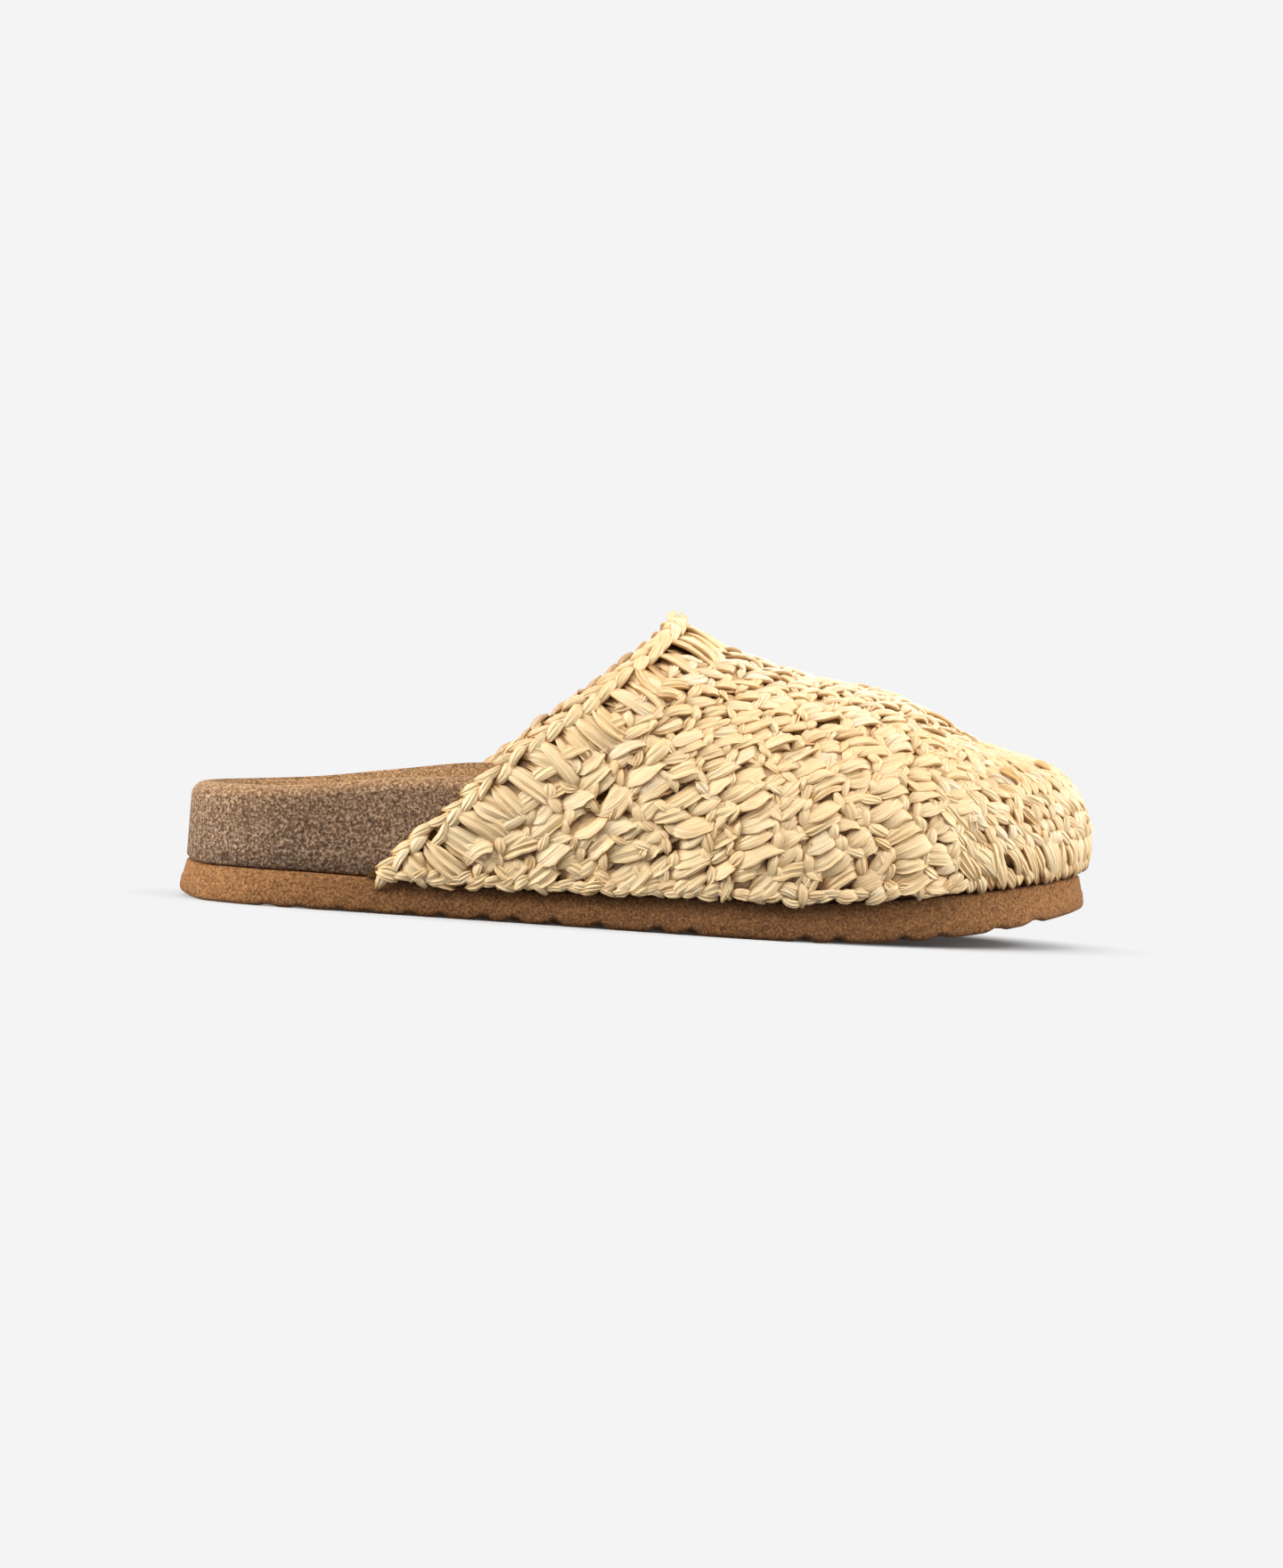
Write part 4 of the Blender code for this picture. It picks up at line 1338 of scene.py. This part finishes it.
class Paint:
    """A material's nodes, made and joined by short calls."""

    def __init__(self, name):
        self.material = bpy.data.materials.new(name)
        self.material.use_nodes = True
        self.nodes = self.material.node_tree.nodes
        self.links = self.material.node_tree.links
        self.shader = self.nodes["Principled BSDF"]

    def put(self, socket, value):
        """A value, colour or another node's output into a socket."""
        if isinstance(value, bpy.types.NodeSocket):
            self.links.new(value, socket)
        elif isinstance(value, tuple) and len(value) == 3 and socket.type == "RGBA":
            socket.default_value = (*value, 1.0)
        else:
            socket.default_value = value

    def node(self, kind, output=0, inputs=(), **settings):
        made = self.nodes.new(kind)
        for name, value in settings.items():
            setattr(made, name, value)
        for name, value in dict(inputs).items():
            self.put(made.inputs[name], value)
        return made.outputs[output]

    def attribute(self, name, output):
        return self.node("ShaderNodeAttribute", output, attribute_name=name)

    def stretched(self, vector, scale):
        return self.node("ShaderNodeVectorMath", 0, {0: vector, 1: scale}, operation="MULTIPLY")

    def noise(self, vector, scale, detail, roughness):
        return self.node("ShaderNodeTexNoise", "Fac", {
            "Vector": vector, "Scale": scale, "Detail": detail, "Roughness": roughness})

    def fit(self, value, low, high, to_low, to_high):
        return self.node("ShaderNodeMapRange", "Result", {
            "Value": value, "From Min": low, "From Max": high, "To Min": to_low, "To Max": to_high})

    def with_share(self, value, other, share):
        """A value and a share of another one added to it."""
        return self.node("ShaderNodeMath", 0, {0: other, 1: share, 2: value}, operation="MULTIPLY_ADD")

    def mix(self, share, first, second):
        return self.node("ShaderNodeMix", 2, {0: share, 6: first, 7: second}, data_type="RGBA")

    def layered(self, colour, layers):
        """Layers over a colour: each covers up to its share of it as its mark goes from low to high."""
        for mark, low, high, share, cover in layers:
            colour = self.mix(self.fit(mark, low, high, 0.0, share), colour, cover)
        return colour

    def bump(self, height, strength, distance):
        return self.node("ShaderNodeBump", 0, {"Height": height, "Strength": strength, "Distance": distance})

    def shade(self, **inputs):
        for name, value in inputs.items():
            self.put(self.shader.inputs[name.replace("_", " ")], value)
        return self.material


def raffia(name, straw):
    """Dry raffia ribbon: straw with fibres along it; painted shade makes it golden toward its edges, deep
    where it tucks under, and darker along its folds.
    """
    paint = Paint(name)
    strand = paint.attribute("strand", "Vector")
    tint = paint.attribute("tint", "Fac")
    shade = paint.attribute("shade", "Fac")
    folds = paint.noise(paint.stretched(strand, (0.09, 1.3, 1.0)), 1.0, 2.0, 0.5)
    fibres = paint.noise(paint.stretched(strand, (0.16, 4.2, 1.0)), 1.0, 4.0, 0.6)
    patches = paint.noise(paint.stretched(strand, (0.12, 0.25, 1.0)), 1.0, 2.0, 0.5)
    colour = paint.layered(straw.light, (
        # Pale for ribbons whose tint is low: some at random, and the painted highlight high on the wall and
        # on the toe
        (tint, -0.2, -1.2, 0.8, straw.pale),
        (fibres, 0.42, 0.72, 0.6, straw.warm),
        (patches, 0.5, 0.75, 0.35, straw.warm),
        (tint, 0.3, 2.4, 0.9, straw.warm),
        (tint, 1.8, 3.0, 0.75, straw.golden),
        # Painted shade in the creases: the fold pattern that raises the bump also darkens the colour toward
        # deep
        (folds, 0.43, 0.29, 0.45, straw.deep),
        # Painted shade: golden, then deep, where the ribbon sinks, at its edges and underneath
        (shade, 0.97, 0.5, 0.6, straw.golden),
        (shade, 0.62, 0.08, 0.9, straw.deep),
    ))
    relief = paint.with_share(folds, fibres, 0.45)
    return paint.shade(
        Base_Color=colour, Roughness=paint.fit(fibres, 0.3, 0.7, 0.36, 0.56),
        Normal=paint.bump(relief, 0.5, 0.0009), Specular_IOR_Level=0.9, Sheen_Weight=0.06)


def raffia_ground(name, colour, deep):
    """The crochet's ground in the gaps between ribbons, and behind the stitches inside: dark brown, painted
    as the shade in the gaps, with darker fibres.
    """
    paint = Paint(name)
    place = paint.node("ShaderNodeTexCoord", "Object")
    fibres = paint.noise(paint.stretched(place, (160.0, 500.0, 700.0)), 1.0, 4.0, 0.6)
    tone = paint.layered(colour, ((fibres, 0.35, 0.7, 1.0, deep),))
    return paint.shade(Base_Color=tone, Roughness=0.7, Specular_IOR_Level=0.0,
                       Normal=paint.bump(fibres, 0.6, 0.0008))


def grained(name, palette, grain, relief, roughness, rim_and_shade_palette=None):
    """Pressed granules: each its own tone, light specks and dark ones, with a fine uneven surface.

    A palette is a light, a middle and a dark colour; a second one, if given, takes over where the rim value
    marks it: the suede colours of the footbed's rim and bed, and the painted shade of the outsole's side.
    """
    paint = Paint(name)
    if rim_and_shade_palette:
        rim_and_shade_mark = paint.attribute("rim", "Fac")
        palette = [paint.mix(rim_and_shade_mark, colour, other) for colour, other in zip(palette, rim_and_shade_palette)]
    light, middle, dark = palette
    place = paint.node("ShaderNodeTexCoord", "Object")
    cells = paint.node("ShaderNodeTexVoronoi", "Color", {"Vector": place, "Scale": grain})
    tone = paint.node("ShaderNodeSeparateColor", "Red", {"Color": cells})
    fine = paint.noise(place, grain * 0.8, 4.0, 0.7)
    wide = paint.noise(place, 28.0, 3.0, 0.5)
    specks = paint.noise(place, 260.0, 1.0, 0.5)
    colour = paint.layered(dark, (
        (tone, 0.1, 0.9, 1.0, middle),
        (fine, 0.48, 0.64, 1.0, light),
        (wide, 0.35, 0.7, 0.2, middle),
        (specks, 0.74, 0.8, 0.8, dark),
    ))
    rough = paint.fit(fine, 0.3, 0.7, roughness - 0.06, roughness + 0.06)
    return paint.shade(Base_Color=colour, Roughness=rough, Specular_IOR_Level=0.2,
                       Normal=paint.bump(paint.with_share(fine, tone, 0.4), relief, 0.0004))


def plain_floor(matt, near, far):
    """White paper: matt under the shoe, where its shadow falls, and as even as the backdrop round it."""
    paint = Paint("floor_white")
    place = paint.stretched(paint.node("ShaderNodeTexCoord", "Object"), MATT_OVAL)
    distance = paint.node("ShaderNodeVectorMath", "Value", {0: place}, operation="LENGTH")
    tone = paint.mix(paint.fit(distance, *FLOOR_FADE, 1.0, 0.0), (0.0, 0.0, 0.0), (matt, matt, matt))
    glow = paint.fit(distance, *FLOOR_FADE, near, far)
    return paint.shade(Base_Color=tone, Roughness=0.95, Specular_IOR_Level=0.0,
                       Emission_Color=(1.0, 1.0, 1.0), Emission_Strength=glow)


# Stage, lights and camera

def make_floor(material):
    """A pale floor that sweeps up behind the shoe."""
    bend = FLOOR_REACH - FLOOR_RADIUS
    profile = [(-FLOOR_REACH, 0.0), (bend, 0.0)]
    for turn in np.linspace(0.0, math.pi / 2, FLOOR_STEPS)[1:]:
        profile.append((bend + FLOOR_RADIUS * math.sin(turn), FLOOR_RADIUS - FLOOR_RADIUS * math.cos(turn)))
    profile.append((FLOOR_REACH, FLOOR_HEIGHT))
    points = [(x, y, z) for y, z in profile for x in (-2 * FLOOR_REACH, 2 * FLOOR_REACH)]
    faces = [(2 * k, 2 * k + 1, 2 * k + 3, 2 * k + 2) for k in range(len(profile) - 1)]
    floor = new_mesh("floor", points, faces, material)
    floor.visible_diffuse = False
    floor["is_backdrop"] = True


def add_light(light):
    lamp = bpy.data.lights.new(light.name, "AREA")
    lamp.shape = "RECTANGLE"
    lamp.size, lamp.size_y = light.size
    lamp.energy = light.watts
    holder = new_object(light.name, lamp)
    holder.location = light.place
    aim = Vector(light.target) - Vector(light.place)
    holder.rotation_euler = aim.to_track_quat("-Z", "Y").to_euler()


def make_world():
    world = bpy.data.worlds.new("studio")
    world.use_nodes = True
    background = world.node_tree.nodes["Background"]
    background.inputs["Color"].default_value = (1.0, 1.0, 1.0, 1.0)
    background.inputs["Strength"].default_value = WORLD_STRENGTH
    bpy.context.scene.world = world


def make_camera():
    """The photograph's view: level with the shoe, a little above it, rolled toward the toe."""
    elevation = math.radians(VIEW_ELEVATION)
    back = Vector((0.0, -math.cos(elevation), math.sin(elevation)))
    camera = new_object("camera", bpy.data.cameras.new("camera"))
    camera.data.lens = VIEW_LENS
    camera.location = Vector(VIEW_TARGET) + back * VIEW_DISTANCE
    camera.rotation_mode = "QUATERNION"
    roll = Quaternion((0.0, 0.0, 1.0), math.radians(VIEW_ROLL))
    camera.rotation_quaternion = (-back).to_track_quat("-Z", "Y") @ roll
    camera.data.clip_start, camera.data.clip_end = VIEW_CLIP
    bpy.context.scene.camera = camera


def main():
    make_camera()
    straw = raffia("raffia", STRAW)
    painted_shade_straw = raffia("raffia_under", PAINTED_SHADE_STRAW)
    make_outsole(grained("foam", FOAM, grain=1700.0, relief=0.4, roughness=0.85, rim_and_shade_palette=PAINTED_SHADE_FOAM))
    make_footbed(grained("cork", CORK, grain=1500.0, relief=0.5, roughness=0.85, rim_and_shade_palette=SUEDE))
    make_insole(grained("suede", SUEDE, grain=1900.0, relief=0.3, roughness=0.95))
    make_wall(raffia_ground("raffia_ground", *GROUND_PAINTED_SHADE))

    for side, name, seed in ((-1.0, "crochet_outer_side", 11), (1.0, "crochet_inner_side", 12)):
        body = Crochet(seed)
        lay_body(body, side, (ROUND, ROPE), over_hem)
        body.build(name, straw)
    # Under the stitches and in the gaps of the band and toe, straw painted as shade
    under_layer = Crochet(13, detail=COARSE)
    lining = Crochet(14, WALL, -1.0, detail=COARSE)
    for side in (-1.0, 1.0):
        lay_body(under_layer, side, (UNDER_ROUND, UNDER_ROPE), over_hem)
        lay_body(lining, side, (LINING_ROUND, LINING_ROUND), behind_rim, LINING_EDGE)
    under_layer.build("crochet_under_layer", painted_shade_straw)
    lining.build("crochet_lining", straw)
    under_edges = Crochet(15, detail=COARSE)
    lay_under_edges(under_edges)
    under_edges.build("crochet_under_edges", painted_shade_straw)
    inner_chain = Crochet(27, WALL, -1.0)
    lay_inner_chain(inner_chain)
    inner_chain.build("collar_chain_inside", straw)
    for name, lay, seed, under_shade in (
            ("crochet_toe", lay_toe, 21, 0.0), ("collar_band", lay_band, 22, 0.0),
            ("collar_chain", lay_chain, 23, OPEN_SHADE), ("hem_loops", lay_hem, 24, 0.0),
            ("peak_knot", lay_knot, 25, OPEN_SHADE), ("loose_ends", lay_ends, 26, OPEN_SHADE)):
        part = Crochet(seed, under_shade=under_shade)
        lay(part)
        part.build(name, straw)

    make_floor(plain_floor(matt=0.48, near=0.02, far=0.905))
    make_world()
    for light in LIGHTS:
        add_light(light)
    bpy.context.scene.view_settings.view_transform = "Standard"


def write_size():
    """The solids' box and the dressed model's box, side by side."""
    boxes = {"cad": cad_bounds, "visual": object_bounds()}
    {name: [list(corner) for corner in box] for name, box in boxes.items()}


main()
write_size()
